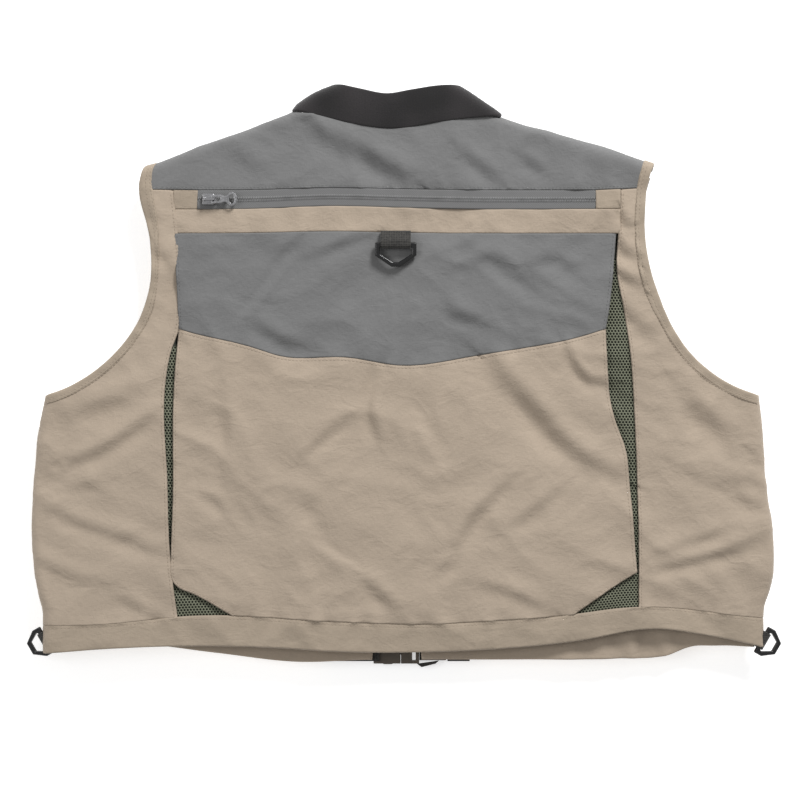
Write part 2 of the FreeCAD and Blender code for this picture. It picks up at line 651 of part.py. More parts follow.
# ---------------------------------------------------------------- sliders and pulls
def make_slider(prefix, x, y, z, rotation):
    """Slider body and its pull. Drawn with the tape at level 0 and the pull pointing to +X."""
    slider = new_body(f"{prefix}_slider")
    half = "dims.slider_length / 2"
    wide = "dims.slider_width / 2"
    taper = "dims.slider_length / 4"
    outline = [
        (f"-{half}", f"-{wide}"), (f"{half} - {taper}", f"-{wide}"), (half, "-dims.coil_width / 2"),
        (half, "dims.coil_width / 2"), (f"{half} - {taper}", wide), (f"-{half}", wide),
    ]
    pad(slider, [outline], "dims.slider_foot", "dims.slider_top - dims.slider_foot")
    slot = "dims.coil_width / 2 + 0.4"
    cut(slider, [rectangle(f"-{half} - 1", f"-({slot})", f"{half} + 1", slot)],
        "dims.coil_height + 0.4", "dims.coil_height + 0.4")
    bridge_top = "dims.slider_top + dims.bridge_rise"
    reach = "dims.bridge_half"
    arch = [
        (f"-{reach}", "dims.slider_top"), (f"-{reach} + dims.bridge_leg", "dims.slider_top"),
        (f"-{reach} + dims.bridge_leg", f"{bridge_top} - dims.bridge_leg"),
        (f"{reach} - dims.bridge_leg", f"{bridge_top} - dims.bridge_leg"),
        (f"{reach} - dims.bridge_leg", "dims.slider_top"), (reach, "dims.slider_top"),
        (reach, bridge_top), (f"-{reach}", bridge_top),
    ]
    pad(slider, [arch], "0", "dims.bridge_width", "XZ_Plane", both_ways=True)
    place(slider, x, y, z, rotation)

    pull = new_body(f"{prefix}_pull")
    bar = "dims.pull_bar"
    side = "dims.pull_width / 2"
    slot = "dims.pull_window / 2"
    end = "dims.pull_length"
    eye = "dims.eye_half"
    outline = [
        (f"-{bar}", f"-{side}"), (f"{end} - 3", f"-{side}"), (end, f"-{eye}"),
        (end, eye), (f"{end} - 3", side), (f"-{bar}", side),
    ]
    window = rectangle(bar, f"-{slot}", "dims.pull_window_end", slot)
    hole = [
        ("dims.eye_start", f"-{eye} / 2"), (f"dims.eye_start + {eye}", f"-{eye}"),
        (f"{end} - 4", f"-{eye}"), (f"{end} - 2.2", "0"), (f"{end} - 4", eye),
        (f"dims.eye_start + {eye}", eye), ("dims.eye_start", f"{eye} / 2"),
    ]
    pad(pull, [outline, window, hole], "-dims.pull_cloth / 2", "dims.pull_cloth")
    hinge = rotation.multVec(FreeCAD.Vector(value(PULL_HINGE_X), 0, value(PULL_HINGE_Z)))
    place(pull, f"{x} + {hinge.x:.3f}", f"{y} + {hinge.y:.3f}", f"{z} + {hinge.z:.3f}", rotation)


PULL_HINGE_X = "dims.bridge_half - dims.bridge_leg - dims.pull_bar - dims.hinge_gap"
PULL_HINGE_Z = "dims.slider_top + dims.hinge_gap + dims.pull_cloth / 2"


# ---------------------------------------------------------------- rings and webbing loops
def make_ring(node, size, x, y, z, rotation):
    """Moulded ring: a straight bar, short straight sides and slants down to a flat far edge."""
    body = new_body(node)
    wide = f"dims.{size}_width / 2"
    side = f"dims.{size}_side"
    drop = f"dims.{size}_drop"
    foot = f"dims.{size}_foot / 2"
    half_rod = "dims.rod / 2"
    outer = [
        (f"-({wide})", half_rod), (f"-({wide})", f"-{side}"), (f"-({foot})", f"-{drop}"),
        (foot, f"-{drop}"), (wide, f"-{side}"), (wide, half_rod),
    ]
    inner = [
        (f"-({wide}) + dims.rod", f"-{half_rod}"), (f"-({wide}) + dims.rod", f"-{side} + dims.rod / 3"),
        (f"-({foot}) + dims.rod / 3", f"-{drop} + dims.rod"), (f"{foot} - dims.rod / 3", f"-{drop} + dims.rod"),
        (f"{wide} - dims.rod", f"-{side} + dims.rod / 3"), (f"{wide} - dims.rod", f"-{half_rod}"),
    ]
    flat = pad(body, [outer, inner], "-dims.rod / 2 + 0.2", "dims.rod - 0.4")
    doc.recompute()
    rounding = body.newObject("PartDesign::Fillet", node + "_round")
    rounding.Base = (flat, [f"Edge{number + 1}" for number in range(len(flat.Shape.Edges))])
    rounding.setExpression("Radius", "dims.rod_round")
    place(body, x, y, z, rotation)


def make_web_loop(node, width, tail, x, y, z, rotation):
    """Webbing folded round a ring's bar, with both its layers sewn together at the tail."""
    body = new_body(node)
    round_out = "dims.web_eye + dims.web"
    base = f"-({round_out})"
    outer = [
        (tail, base), (tail, f"{base} + 2 * dims.web"), ("dims.web_eye + 0.6", round_out),
        ("0", round_out, f"-0.97 * ({round_out})"), ("0", base),
    ]
    eye = [
        ("dims.web_eye + 3", f"{base} + 1.6 * dims.web"), ("dims.web_eye + 0.2", "dims.web_eye"),
        ("0", "dims.web_eye", "-0.97 * dims.web_eye"),
        ("0", "-dims.web_eye"),
    ]
    pad(body, [outer, eye], "0", width, "YZ_Plane", both_ways=True)
    place(body, x, y, z, rotation)


# ---------------------------------------------------------------- buckle of the front hem
def make_buckle():
    """Side release buckle: socket on the left strap, plug with two sprung prongs on the right one."""
    low = "dims.buckle_low"
    height = "dims.buckle_high - dims.buckle_low"
    foot = "dims.buckle_y - dims.buckle_half"
    top = "dims.buckle_y + dims.buckle_half"
    lean = "dims.lean_top"
    socket = new_body("buckle_socket")
    back = f"{lean} + dims.socket_back"
    mouth = f"{lean} + dims.socket_mouth"
    pad(socket, [rectangle(back, foot, mouth, top)], low, height)
    cut(socket, [rectangle(f"{back} + 5", f"{foot} - 1", f"{mouth} + 1", f"{top} + 1")],
        "dims.buckle_high - dims.buckle_wall", f"{height} - 2 * dims.buckle_wall")
    plug = new_body("buckle_plug")
    shoulder = f"{mouth} + 0.4"
    pad(plug, [rectangle(shoulder, foot, f"{lean} + dims.plug_end", top)], low, height)
    tongue = rectangle(f"{shoulder} - dims.prong_length", "dims.buckle_y - dims.tongue_half",
                       f"{shoulder} + 1", "dims.buckle_y + dims.tongue_half")
    pad(plug, [tongue], "dims.buckle_low + dims.buckle_wall + 0.4", f"{height} - 2 * dims.buckle_wall - 0.8")
    slot = rectangle(f"{lean} + dims.plug_end - 6", "dims.buckle_y - dims.strap_half",
                     f"{lean} + dims.plug_end - 3", "dims.buckle_y + dims.strap_half")
    cut(plug, [slot], "dims.buckle_high + 1", f"{height} + 2")
    for name, side in (("lower", -1), ("upper", 1)):
        outer = f"dims.buckle_y + {side} * dims.buckle_half"
        inner = f"dims.buckle_y + {side} * (dims.buckle_half - dims.prong_width)"
        bulge = f"dims.buckle_y + {side} * (dims.buckle_half + 0.8)"
        prong = [
            (f"{shoulder} - 0.3", inner), (f"{shoulder} - 0.3", outer),
            (f"{shoulder} - dims.prong_length / 3", outer), (f"{shoulder} - dims.prong_length / 2", bulge),
            (f"{shoulder} - dims.prong_length + 2", bulge), (f"{shoulder} - dims.prong_length", inner),
        ]
        plate(f"buckle_prong_{name}", prong, "dims.buckle_low + dims.buckle_wall + 0.4",
              f"{height} - 2 * dims.buckle_wall - 0.8")


def make_hem_straps():
    """Webbing between the front corners and the buckle, and the free tail of the right strap."""
    level = "dims.front_level - 0.5 - dims.web"
    foot = "dims.buckle_y - dims.strap_half"
    top = "dims.buckle_y + dims.strap_half"
    lean = "dims.lean_top"
    socket_end = f"{lean} + dims.socket_back"
    left = rectangle(f"{lean} - dims.strap_reach", foot, f"{socket_end} + 5", top)
    plate("waist_strap_left", left, level, "dims.web")
    right = rectangle(f"{lean} + dims.plug_end + 24", foot, f"{lean} + dims.strap_reach", top)
    plate("waist_strap_right", right, level, "dims.web")
    span_start = f"{lean} + dims.plug_end + 0.2"
    span = rectangle(span_start, foot, f"{lean} + dims.plug_end + 23", top)
    tail = [
        (f"{lean} + dims.plug_end - 2", "dims.buckle_y - dims.buckle_half - 0.5"),
        (f"{lean} + dims.plug_end + 2", "dims.strap_tail_y"),
        (f"{lean} + dims.plug_end + 14", "dims.strap_tail_y + 3"), (f"{lean} + dims.plug_end + 17", f"{foot} - 0.2"),
    ]
    strap = new_body("buckle_strap")
    pad(strap, [span], "dims.buckle_low + 3", "dims.web")
    pad(strap, [tail], "dims.buckle_low + 3", "dims.web")


# ---------------------------------------------------------------- assembly
make_collar()
make_yoke()
make_mesh()
make_rear_zip()
make_rear_pocket()
make_back_hem()
make_front_zip()
make_buckle()
make_hem_straps()
for side_name, side_sign in SIDES:
    make_side_panel(side_name, side_sign)
    make_armhole_binding(side_name, side_sign)
    make_front_panel(side_name, side_sign)
    make_front_yoke(side_name, side_sign)
    make_front_binding(side_name, side_sign)
    make_front_hem(side_name, side_sign)
    make_pouch(f"lower_pocket_{side_name}", side_sign, "dims.low_inner", "dims.low_outer", "dims.low_top",
               "dims.low_step", "dims.low_foot", "dims.pouch_level", open_top=True)
    make_chest_pocket(side_name, side_sign)
    make_flap(side_name, side_sign)
    make_slider(f"chest_zip_{side_name}",
                f"dims.lean_top + {side_sign} * (dims.chest_outer - dims.chest_zip_margin - 7)",
                "dims.chest_zip_y", "dims.chest_level - dims.patch",
                turned(90 + side_sign * 90, 180))
    heading = side_sign * value("dims.side_ring_turn")
    make_ring(f"side_ring_{side_name}", "side_ring", f"{side_sign} * dims.side_ring_x", "dims.side_ring_y",
              "dims.side_ring_z", turned(heading, value("dims.side_ring_tilt")))
    make_web_loop(f"side_ring_loop_{side_name}", "dims.side_web_width", "dims.side_web_tail",
                  f"{side_sign} * dims.side_ring_x", "dims.side_ring_y", "dims.side_ring_z",
                  turned(heading, 0))

ZIP_Y = "dims.yoke_y - dims.tape_width / 2"
make_slider("rear_zip", "dims.lean_top - dims.tab_inner + 10", ZIP_Y, BACK_TOP, turned(0, 0))
make_slider("front_zip", "dims.lean_top", "dims.neck_y - 10", "dims.front_level", turned(-90, 180))
RING_Z = BACK_TOP + " + dims.web + dims.web_eye"
make_ring("rear_ring", "rear_ring", "dims.lean_top - 1", "dims.strip_y - 10", RING_Z,
          turned(0, value("dims.rear_ring_tilt")))
make_web_loop("rear_ring_loop", "dims.rear_web_width", "dims.rear_web_tail", "dims.lean_top - 1",
              "dims.strip_y - 10", RING_Z, turned(0, 0))

doc.recompute()
for item in doc.Objects:
    if "Invalid" in item.State or "Error" in item.State:
        raise RuntimeError(f"{item.Name} did not build: {item.State}")
os.makedirs("parts", exist_ok=True)
whole = FreeCAD.BoundBox()
for body in parts:
    if body.Shape.isNull() or not body.Shape.isValid():
        raise RuntimeError(f"{body.Label} has no valid shape")
    body.Shape.exportStep(f"parts/{body.Label}.step")
    whole.add(body.Shape.BoundBox)
print(len(parts), "nodes; X", round(whole.XMin, 1), round(whole.XMax, 1), "Y", round(whole.YMin, 1),
      round(whole.YMax, 1), "Z", round(whole.ZMin, 1), round(whole.ZMax, 1))
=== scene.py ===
"""Fishing vest lying on its front: cloth panels, mesh, zips, webbing and rings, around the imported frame."""

import json
import math

import bpy
import numpy as np
from mathutils.geometry import delaunay_2d_cdt
from numpy.linalg import norm
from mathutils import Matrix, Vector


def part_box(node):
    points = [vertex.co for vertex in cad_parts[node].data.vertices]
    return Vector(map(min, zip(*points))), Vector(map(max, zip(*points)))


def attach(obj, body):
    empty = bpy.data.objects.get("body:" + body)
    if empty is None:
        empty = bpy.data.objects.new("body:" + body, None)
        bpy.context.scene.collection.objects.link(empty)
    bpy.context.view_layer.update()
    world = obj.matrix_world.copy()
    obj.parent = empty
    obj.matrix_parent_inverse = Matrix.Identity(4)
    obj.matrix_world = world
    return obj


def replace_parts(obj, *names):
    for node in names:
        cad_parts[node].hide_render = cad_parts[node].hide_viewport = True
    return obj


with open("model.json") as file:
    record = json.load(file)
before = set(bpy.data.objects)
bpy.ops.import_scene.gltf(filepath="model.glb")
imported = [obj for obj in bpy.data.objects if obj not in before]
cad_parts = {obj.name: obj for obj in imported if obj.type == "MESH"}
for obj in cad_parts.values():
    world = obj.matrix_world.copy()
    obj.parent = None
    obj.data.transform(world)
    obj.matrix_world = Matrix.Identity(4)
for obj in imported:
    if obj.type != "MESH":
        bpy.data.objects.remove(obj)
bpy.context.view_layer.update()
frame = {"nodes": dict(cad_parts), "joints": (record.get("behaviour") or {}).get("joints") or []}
nodes = frame["nodes"]
scene = bpy.context.scene
MM = 0.001  # lengths below are in millimetres, where nothing else is said
MID = 21.75  # height halfway between the vest's back and front
ROLL = 7.75  # radius of the vest's folded edges
WRAP = math.pi * ROLL - 0.2  # cloth that goes round such an edge
MIDDLE_X = -6  # the vest's middle line
HEM_Y, HEM_FOOT_Y = -207, -232.5  # the hem's seam, and its foot at the vest's sides
ZIP_SEAM_Y = 156.3  # where the yoke ends beside the rear zip
# Corners of the cut, left and right: under the arms, at the shoulders' tips, where the collar starts, and at
# the lower and upper ends of the rear pocket's grey part.
ARMPITS = (-304, -17), (300, -17)
TIPS = (-224, 175), (212, 175)
NECK_ENDS = (-94, 220), (82, 220)
GREY_LOW = (-187, 39), (175, 39)
GREY_TOP = (-194, 119.8), (182, 119.8)
SEAM_DEPTH, SEAM_HALF = 0.22, 0.9  # depth and half width of a stitched row's groove


# ---- lines and loops
def resample(line, step):
    line = np.asarray(line, float)
    run = np.r_[0, np.cumsum(norm(np.diff(line, axis=0), axis=1))]
    t = np.linspace(0, run[-1], max(1, int(round(run[-1] / step))) + 1)
    return np.stack([np.interp(t, run, line[:, k]) for k in range(line.shape[1])], 1)


def curve(points, step=2.5):
    """A smooth line through the points, evenly divided."""
    p = np.asarray(points, float)
    if len(p) < 3:
        return resample(p, step)
    gap = norm(np.diff(p, axis=0), axis=1)[:, None]
    way = np.diff(p, axis=0) / gap
    slope = np.vstack([way[:1], (way[1:] * gap[:-1] + way[:-1] * gap[1:]) / (gap[:-1] + gap[1:]), way[-1:]])
    out = []
    for t in np.linspace(0, 1, 9)[:-1]:
        out.append((2 * t**3 - 3 * t**2 + 1) * p[:-1] + (t**3 - 2 * t**2 + t) * gap * slope[:-1]
                   + (3 * t**2 - 2 * t**3) * p[1:] + (t**3 - t**2) * gap * slope[1:])
    dense = np.stack(out, 1).reshape(-1, p.shape[1])
    return resample(np.vstack([dense, p[-1:]]), step)


def normals(line):
    way = np.gradient(line, axis=0)
    left = np.c_[-way[:, 1], way[:, 0]]
    return left / np.maximum(norm(left, axis=1), 1e-9)[:, None]


def offset(line, gap):
    """The line moved to its left."""
    return line + normals(line) * gap


def lengthen(line, by=60.0):
    first, last = line[0] - line[1], line[-1] - line[-2]
    return np.vstack([line[0] + first / norm(first) * by, line,
                      line[-1] + last / norm(last) * by])


def nearest(points, line):
    """Signed distance of each point from the line (positive on its left), arc length there, and foot (x, y)."""
    start, way = line[:-1], np.diff(line, axis=0)
    size = np.maximum((way**2).sum(1), 1e-12)
    run = np.r_[0, np.cumsum(np.sqrt(size))]
    out = []
    for block in np.array_split(points, len(points) // 3000 + 1):
        rel = block[:, None] - start[None]
        t = np.clip((rel * way).sum(2) / size, 0, 1)
        gap = rel - t[..., None] * way
        far = (gap**2).sum(2)
        i, k = far.argmin(1), np.arange(len(block))
        side = np.sign(way[i, 0] * gap[k, i, 1] - way[i, 1] * gap[k, i, 0])
        along = run[i] + t[k, i] * np.sqrt(size[i])
        out.append(np.c_[side * np.sqrt(far[k, i]), along, start[i] + t[k, i, None] * way[i]])
    return np.vstack(out)


def outline(node, up=True, level=None, side=0):
    """The outer loop of a CAD node's flat top or bottom face, counter-clockwise. side picks its left (-1) or
    right (1) part."""
    mesh = nodes[node].data
    co = np.array([v.co for v in mesh.vertices]) / MM
    if level is None:
        level = co[:, 2].max() if up else co[:, 2].min()
    edges = {}
    for face in mesh.polygons:
        if all(abs(co[i, 2] - level) < 0.02 for i in face.vertices):
            keys = [tuple(np.round(co[i, :2], 2)) for i in face.vertices]
            for a, b in zip(keys, keys[1:] + keys[:1]):
                if edges.pop((b, a), None) is None:
                    edges[(a, b)] = True
    follow = {}
    for a, b in edges:
        follow.setdefault(a, []).append(b)
    loops = []
    while follow:
        here = first = next(iter(follow))
        loop = []
        while here in follow:
            loop.append(here)
            step = follow[here].pop()
            if not follow[here]:
                del follow[here]
            here = step
            if here == first:
                break
        loops.append(np.array(loop, float))
    if side:
        loops = [c for c in loops if (c[:, 0].mean() - MIDDLE_X) * side > 0]
    loop = max(loops, key=lambda c: abs(area_of(c)))
    return loop if area_of(loop) > 0 else loop[::-1]


def area_of(loop):
    x, y = np.asarray(loop).T
    return 0.5 * float(np.sum(x * np.roll(y, -1) - np.roll(x, -1) * y))


def length_of(line):
    return norm(np.diff(line, axis=0), axis=1).sum()


def piece_of(loop, a, b):
    """The part of a loop between the corners nearest to a and b, the shorter way."""
    i, j = (int(np.argmin(norm(loop - np.array(p), axis=1))) for p in (a, b))
    ahead = np.roll(loop, -i, 0)[: (j - i) % len(loop) + 1]
    back = np.roll(loop[::-1], i + 1, 0)[: (i - j) % len(loop) + 1]
    return ahead if length_of(ahead) < length_of(back) else back


def even(loop, step, sharp=20):
    """The loop evenly divided, smooth between its corners."""
    loop = np.asarray(loop, float)
    way = np.roll(loop, -1, 0) - loop
    heading = np.arctan2(way[:, 1], way[:, 0])
    turn = np.degrees(np.abs((heading - np.roll(heading, 1) + math.pi) % (2 * math.pi) - math.pi))
    corners = list(np.where(turn > sharp)[0]) or [0]
    out = []
    for i, j in zip(corners, corners[1:] + [corners[0] + len(loop)]):
        run = loop[[k % len(loop) for k in range(i, j + 1)]]
        out.append(curve(run, step)[:-1])
    return np.vstack(out)


def inside(points, loop):
    x, y = points.T
    result = np.zeros(len(points), bool)
    for (x0, y0), (x1, y1) in zip(loop, np.roll(loop, -1, 0)):
        if y0 != y1:
            result ^= ((y0 > y) != (y1 > y)) & (x < (x1 - x0) * (y - y0) / (y1 - y0) + x0)
    return result


def closed(loop):
    return np.vstack([loop, loop[:1]])


# ---- random fields
def field(seed, size):
    """A smooth random height between about -1 and 1, with bumps of that size."""
    grid = np.random.default_rng(seed).uniform(-1, 1, (256, 256))

    def height(x, y):
        u, v = x / size + 90.3, y / size + 70.7
        i, j = np.floor(u).astype(int), np.floor(v).astype(int)
        weights = [((1 - t) ** 3 / 6, (3 * t**3 - 6 * t**2 + 4) / 6, (-3 * t**3 + 3 * t**2 + 3 * t + 1) / 6,
                    t**3 / 6) for t in (u - i, v - j)]
        return 2.2 * sum(weights[0][m] * weights[1][n] * grid[(i + m - 1) % 256, (j + n - 1) % 256]
                         for m in range(4) for n in range(4))

    return height


coarse, middle, fine = field(11, 62), field(12, 30), field(13, 13)
warp_x, warp_y, along_seam = field(14, 45), field(15, 45), field(16, 1)
front_noise, inner_waves, gathers = field(17, 48), field(18, 26), field(23, 9)
strip_folds, binding_puckers = field(24, 15), field(21, 7)

# ---- edges of the vest, clockwise, outside on the left
flank = piece_of(outline("side_panel_left"), (-305, HEM_Y), ARMPITS[0])
side_left = curve(np.vstack([(-305, HEM_FOOT_Y), flank]))
flank = piece_of(outline("side_panel_right"), ARMPITS[1], (305, HEM_Y))
side_right = curve(np.vstack([flank, (305, HEM_FOOT_Y)]))
yoke = outline("yoke_back")
tip_left, tip_right = (yoke[np.argmin(np.abs(yoke - tip).sum(1))] for tip in TIPS)
shoulder_left = resample([tip_left, NECK_ENDS[0]], 3)
shoulder_right = resample([NECK_ENDS[1], tip_right], 3)
neck_left = curve([NECK_ENDS[0], (-77, 235), (-56, 246.5)], 3)
neck_right = curve([(44, 246.5), (70, 226.8), NECK_ENDS[1]], 3)
SIDES, SHOULDERS, NECK = (side_left, side_right), (shoulder_left, shoulder_right), (neck_left, neck_right)
HALVES = (("left", -1, side_left, shoulder_left), ("right", 1, side_right, shoulder_right))


def wrap(loop, edges, by=WRAP - ROLL):
    """The loop with the cloth added that goes round those edges of the vest (by < 0: taken away)."""
    loop = np.asarray(loop, float)
    moved, on = loop.copy(), np.zeros(len(loop), bool)
    for edge in edges:
        near = nearest(loop, edge)
        hit = np.abs(near[:, 0]) < 0.9
        out = normals(edge)
        i = np.array([np.argmin(norm(edge - p, axis=1)) for p in loop])
        moved[hit] = loop[hit] + out[i[hit]] * by
        on |= hit
    result = []
    for k in range(len(loop)):
        ends = [bool(on[k]) and by > 0 and not on[j % len(loop)] for j in (k - 1, k + 1)]
        result += [loop[k]] * ends[0] + [moved[k]] + [loop[k]] * ends[1]
    return np.array(result)


# ---- how the cloth lies
# Folds of the back: points along the shaded flank, height, reach.
FOLDS = [
    (((-80, 209), (-37, 187), (9, 163)), 2.6, 9), (((47, 190), (70, 172), (81, 163)), 1.6, 6),
    (((98, 186), (119, 171)), 1.2, 5), (((-26, 119), (-46, 112), (-76, 101)), 1.6, 5),
    (((-88, 116), (-105, 101)), 1.0, 5), (((-98, 99), (-121, 68), (-139, 46)), -0.9, 3.5),
    (((-130, 44), (-105, 31), (-79, 21)), 1.5, 6), (((30, 68), (40, 54), (64, 42)), 1.3, 6),
    (((51, 93), (77, 99), (94, 85), (106, 76)), 1.1, 6), (((102, 93), (132, 97), (149, 84)), 1.2, 6),
    (((70, 8), (102, -21), (132, -55), (152, -72), (187, -89)), 3.2, 9),
    (((139, 22), (145, 10), (161, -4), (179, -6)), 1.6, 5), (((90, -89), (64, -114), (41, -148)), 2.0, 6),
    (((136, -93), (111, -114), (85, -131)), 1.2, 6), (((28, -166), (45, -155)), 1.2, 5),
    (((-71, -144), (-37, -163)), -0.8, 3.5), (((-37, -169), (-3, -199)), 1.6, 6),
    (((-152, -12), (-149, -46), (-152, -74)), 1.5, 6), (((-16, 4), (-28, -25), (-20, -60)), 1.6, 5),
    (((13, -38), (22, -55), (30, -72)), -1.2, 6), (((-50, -38), (-71, -55), (-88, -72)), 1.1, 5),
    (((-206, -30), (-236, -51), (-265, -68), (-286, -73)), 1.9, 6),
    (((-202, -4), (-257, -25), (-299, -38)), 1.5, 9),
    (((-308, -106), (-278, -122), (-231, -139), (-202, -152)), 1.6, 6),
    (((-310, -152), (-286, -165), (-257, -173)), 1.3, 6), (((225, -4), (250, -30), (284, -55)), 1.8, 9),
    (((204, -173), (237, -161), (271, -150), (305, -135)), 1.8, 6),
    (((204, -160), (250, -139), (271, -131)), 1.3, 6), (((280, -101), (305, -114)), 1.2, 6),
    (((184, 141), (193, 124)), 1.8, 4), (((186, 117), (198, 96)), 2.0, 4), (((188, 92), (200, 74)), 1.8, 4),
    (((-214, 153), (-209, 127)), 1.4, 4), (((-196, 92), (-207, 40)), 1.6, 5),
    (((-211, 110), (-203, 88)), 1.2, 4),
    (((190, 60), (206, 30)), 1.4, 5), (((-150, 190), (-120, 172)), 1.0, 8), (((150, 183), (176, 168)), 1.0, 7),
    (((-176, -100), (-160, -106), (-150, -120)), 1.1, 5), (((60, -175), (90, -184), (120, -200)), 1.2, 6),
    (((-120, -90), (-80, -110), (-60, -140)), 0.9, 8), (((-250, -90), (-285, -98)), 1.0, 6),
    (((232, -75), (262, -90), (296, -92)), 1.0, 7), (((-240, -185), (-218, -200)), 1.0, 5),
]
LIGHT_SIDE = np.array([0.45, 0.9])  # the side on which those folds are high
fold_curves = [(curve(points, 4.0), height, reach) for points, height, reach in FOLDS]

PUCKERS = [  # sewn lines: points, height, wave length, reach
    (((-218, ZIP_SEAM_Y), (206, ZIP_SEAM_Y)), 0.6, 13, 7), (GREY_TOP, 0.6, 18, 10),
    ((GREY_LOW[0], (-100, 15), (-6, 8), (89, 15), GREY_LOW[1]), 1.1, 13, 9),
    (((-305, HEM_Y), (305, HEM_Y)), 1.3, 11, 7, "upper side only"),
    (((-197, HEM_Y), (-200, -75), (-195, 156)), 0.6, 14, 8),
    (((197, HEM_Y), (197, -20), (183, 156)), 0.6, 14, 8),
    (((-191, -180), (-193, -100), GREY_LOW[0], (-194, 120)), 1.5, 19, 8),
    (((191, -180), (186, -60), GREY_LOW[1], (182, 120)), 1.5, 19, 8),
    ((ARMPITS[0], (-245, 12), (-220, 60), (-216, 150)), 0.8, 12, 8),
    ((ARMPITS[1], (235, 20), (212, 70), (206, 150)), 0.8, 12, 8),
]
pucker_curves = [(curve(points, 5.0), *rest) for points, *rest in PUCKERS]


def near_box(xy, line, gap):
    """Which points lie in the line's box grown by the gap."""
    return np.where(np.all((xy > line.min(0) - gap) & (xy < line.max(0) + gap), axis=1))[0]


def wrinkle(xy):
    """Height of the wrinkles over the back's cloth."""
    x, y = xy.T
    bent_x, bent_y = x + 16 * warp_x(x, y), y + 16 * warp_y(x, y)
    total = 1.2 * coarse(bent_x, bent_y) + 2.0 * (0.35 - np.abs(middle(bent_x + 0.5 * y, bent_y * 1.2)))
    total += 0.85 * (0.35 - np.abs(fine(bent_x, bent_y)))
    for line, height, reach in fold_curves:
        near = near_box(xy, line, 3.2 * reach)
        if len(near):
            found = nearest(xy[near], line)
            way = line[-1] - line[0]
            side = 1 if -way[1] * LIGHT_SIDE[0] + way[0] * LIGHT_SIDE[1] > 0 else -1
            t = side * found[:, 0] / reach
            ends = np.sin(np.pi * np.clip(found[:, 1] / length_of(line), 0.02, 0.98)) ** 0.5
            total[near] += height * 1.25 * ends * t * np.exp(0.5 - 0.5 * t * t)
    for line, height, wave, reach, *upper_only in pucker_curves:
        near = near_box(xy, line, 4 * reach)
        if len(near):
            found = nearest(xy[near], line)
            high_side = np.clip(1 + found[:, 0] / 4, 0.25, 1) if upper_only else 1
            total[near] += height * high_side * np.exp(-np.abs(found[:, 0]) / reach) * along_seam(
                found[:, 1] / wave * 2, found[:, 0] / 30)
    return total


# Small moves in the plane of the laid-out vest: (x, move along y) along the hem, the front's hem, the rear zip,
# the colour seam and the line of shoulders and collar seam, and (y, move along x) down the vest's outer edges.
HEM_SEAM = ((-305, -5), (-260, -4), (-170, 3.4), (-60, -1.5), (8, -4), (75, -1), (140, 4), (195, 10.5),
            (305, 1))
HEM_FOOT = ((-305, -3.7), (-230, 1.6), (-150, 2.6), (-14, -3), (75, 0), (140, 6), (216, 17.3), (255, 12),
            (305, 1.5))
FRONT_FOOT = ((-305, 0), (-240, 6), (-160, 0), (-90, -5.5), (-30, -1.8), (94, -3.8), (180, -5.5), (222, -4.5),
              (245, 3.2), (263, 3.2), (305, 0))
ZIP_BOW = ((-200, 0), (-125, 0.3), (-63, 2.6), (0, 1.2), (50, 0.2), (180, 0))
COLOUR_BOW = ((-190, 0), (-128, 1.5), (-105, -1), (-45, 6), (-2, 0), (60, 4.5), (175, 0))
TOP_LINE = (TIPS[0], NECK_ENDS[0], (-50, 209), (-6, 206), (38, 209), NECK_ENDS[1], TIPS[1])
TOP_MOVE = ((-222, 0), (-139, 3.2), (-62, 3.4), (-13, -0.8), (39, 3.8), (88, 0), (157, 4.2), (212, 5))
LEFT_EDGE = ((-207, -1.5), (-150, -5), (-93, -2.5), (-40, 0), (8, 1.7), (50, 5), (80, 5), (112, 0.6),
             (160, -6.5), (181, 6.5))
RIGHT_EDGE = ((-207, 1), (-175, 5), (-145, 3.6), (-100, -2.5), (-50, -1.8), (8, 3.4), (50, 6), (110, 2.5),
              (150, 0.7), (180, 0.7))
# How far the edges of the side panels and of the pocket lie from their cut: (y, move along x).
LEFT_PANEL = ((-207, 5.5), (-152, 1), (-95, 0), (2, -0.8), (20, 2.4), (40, 9), (60, 10), (100, 8), (156, 0))
RIGHT_PANEL = ((-207, 1.5), (-56, 1), (22, -1), (51, -3.6), (90, -8), (120, -4.5), (156, 0))
LEFT_POCKET = ((-174, 0), (-114, 0), (-7, -4.7), (41, -3.5), (82, -2), (121, -1))
RIGHT_POCKET = ((-168, 2.7), (-95, 3.8), (-62, 3), (-36, -4.1), (16, -5.7), (66, -2.4), (117, -2))


def lift(points, x):
    line = curve(points, 4.0)
    return np.interp(x, line[:, 0], line[:, 1])


def sideways(xy):
    """How far cloth near the vest's two outer edges lies from its cut, along x."""
    x, y = xy.T
    reach = 20 + 60 * np.clip(-y / 40, 0, 1)
    near = np.clip((np.abs(x + 3) - 196) / reach, 0, 1)
    return np.where(x < 0, lift(LEFT_EDGE, y), lift(RIGHT_EDGE, y)) * near**2 * (3 - 2 * near)


def shift(xy):
    """Small moves of the back's cloth: the wavy hem, the bow of the rear zip, and the outline."""
    x, y = xy.T
    seam = lift(HEM_SEAM, x) * np.clip(1 - (y - HEM_Y) / 120, 0, 1) ** 2 * (y >= HEM_Y)
    foot = np.clip((HEM_Y - y) / 25, 0, 1.2)
    band = (lift(HEM_SEAM, x) * (1 - foot) + lift(HEM_FOOT, x) * foot) * (y < HEM_Y)
    bows = lift(ZIP_BOW, x) * np.exp(-(((y - 140) / 30) ** 2))
    bows += lift(COLOUR_BOW, x) * np.exp(-(((y - 20) / 28) ** 2))
    from_top = y - np.interp(x, *np.transpose(TOP_LINE))
    top = lift(TOP_MOVE, x) * np.clip(1 + from_top / 35, 0, 1) * np.clip(1 - from_top / 24, 0, 1)
    return np.c_[x + sideways(xy), y + seam + band + bows + top]


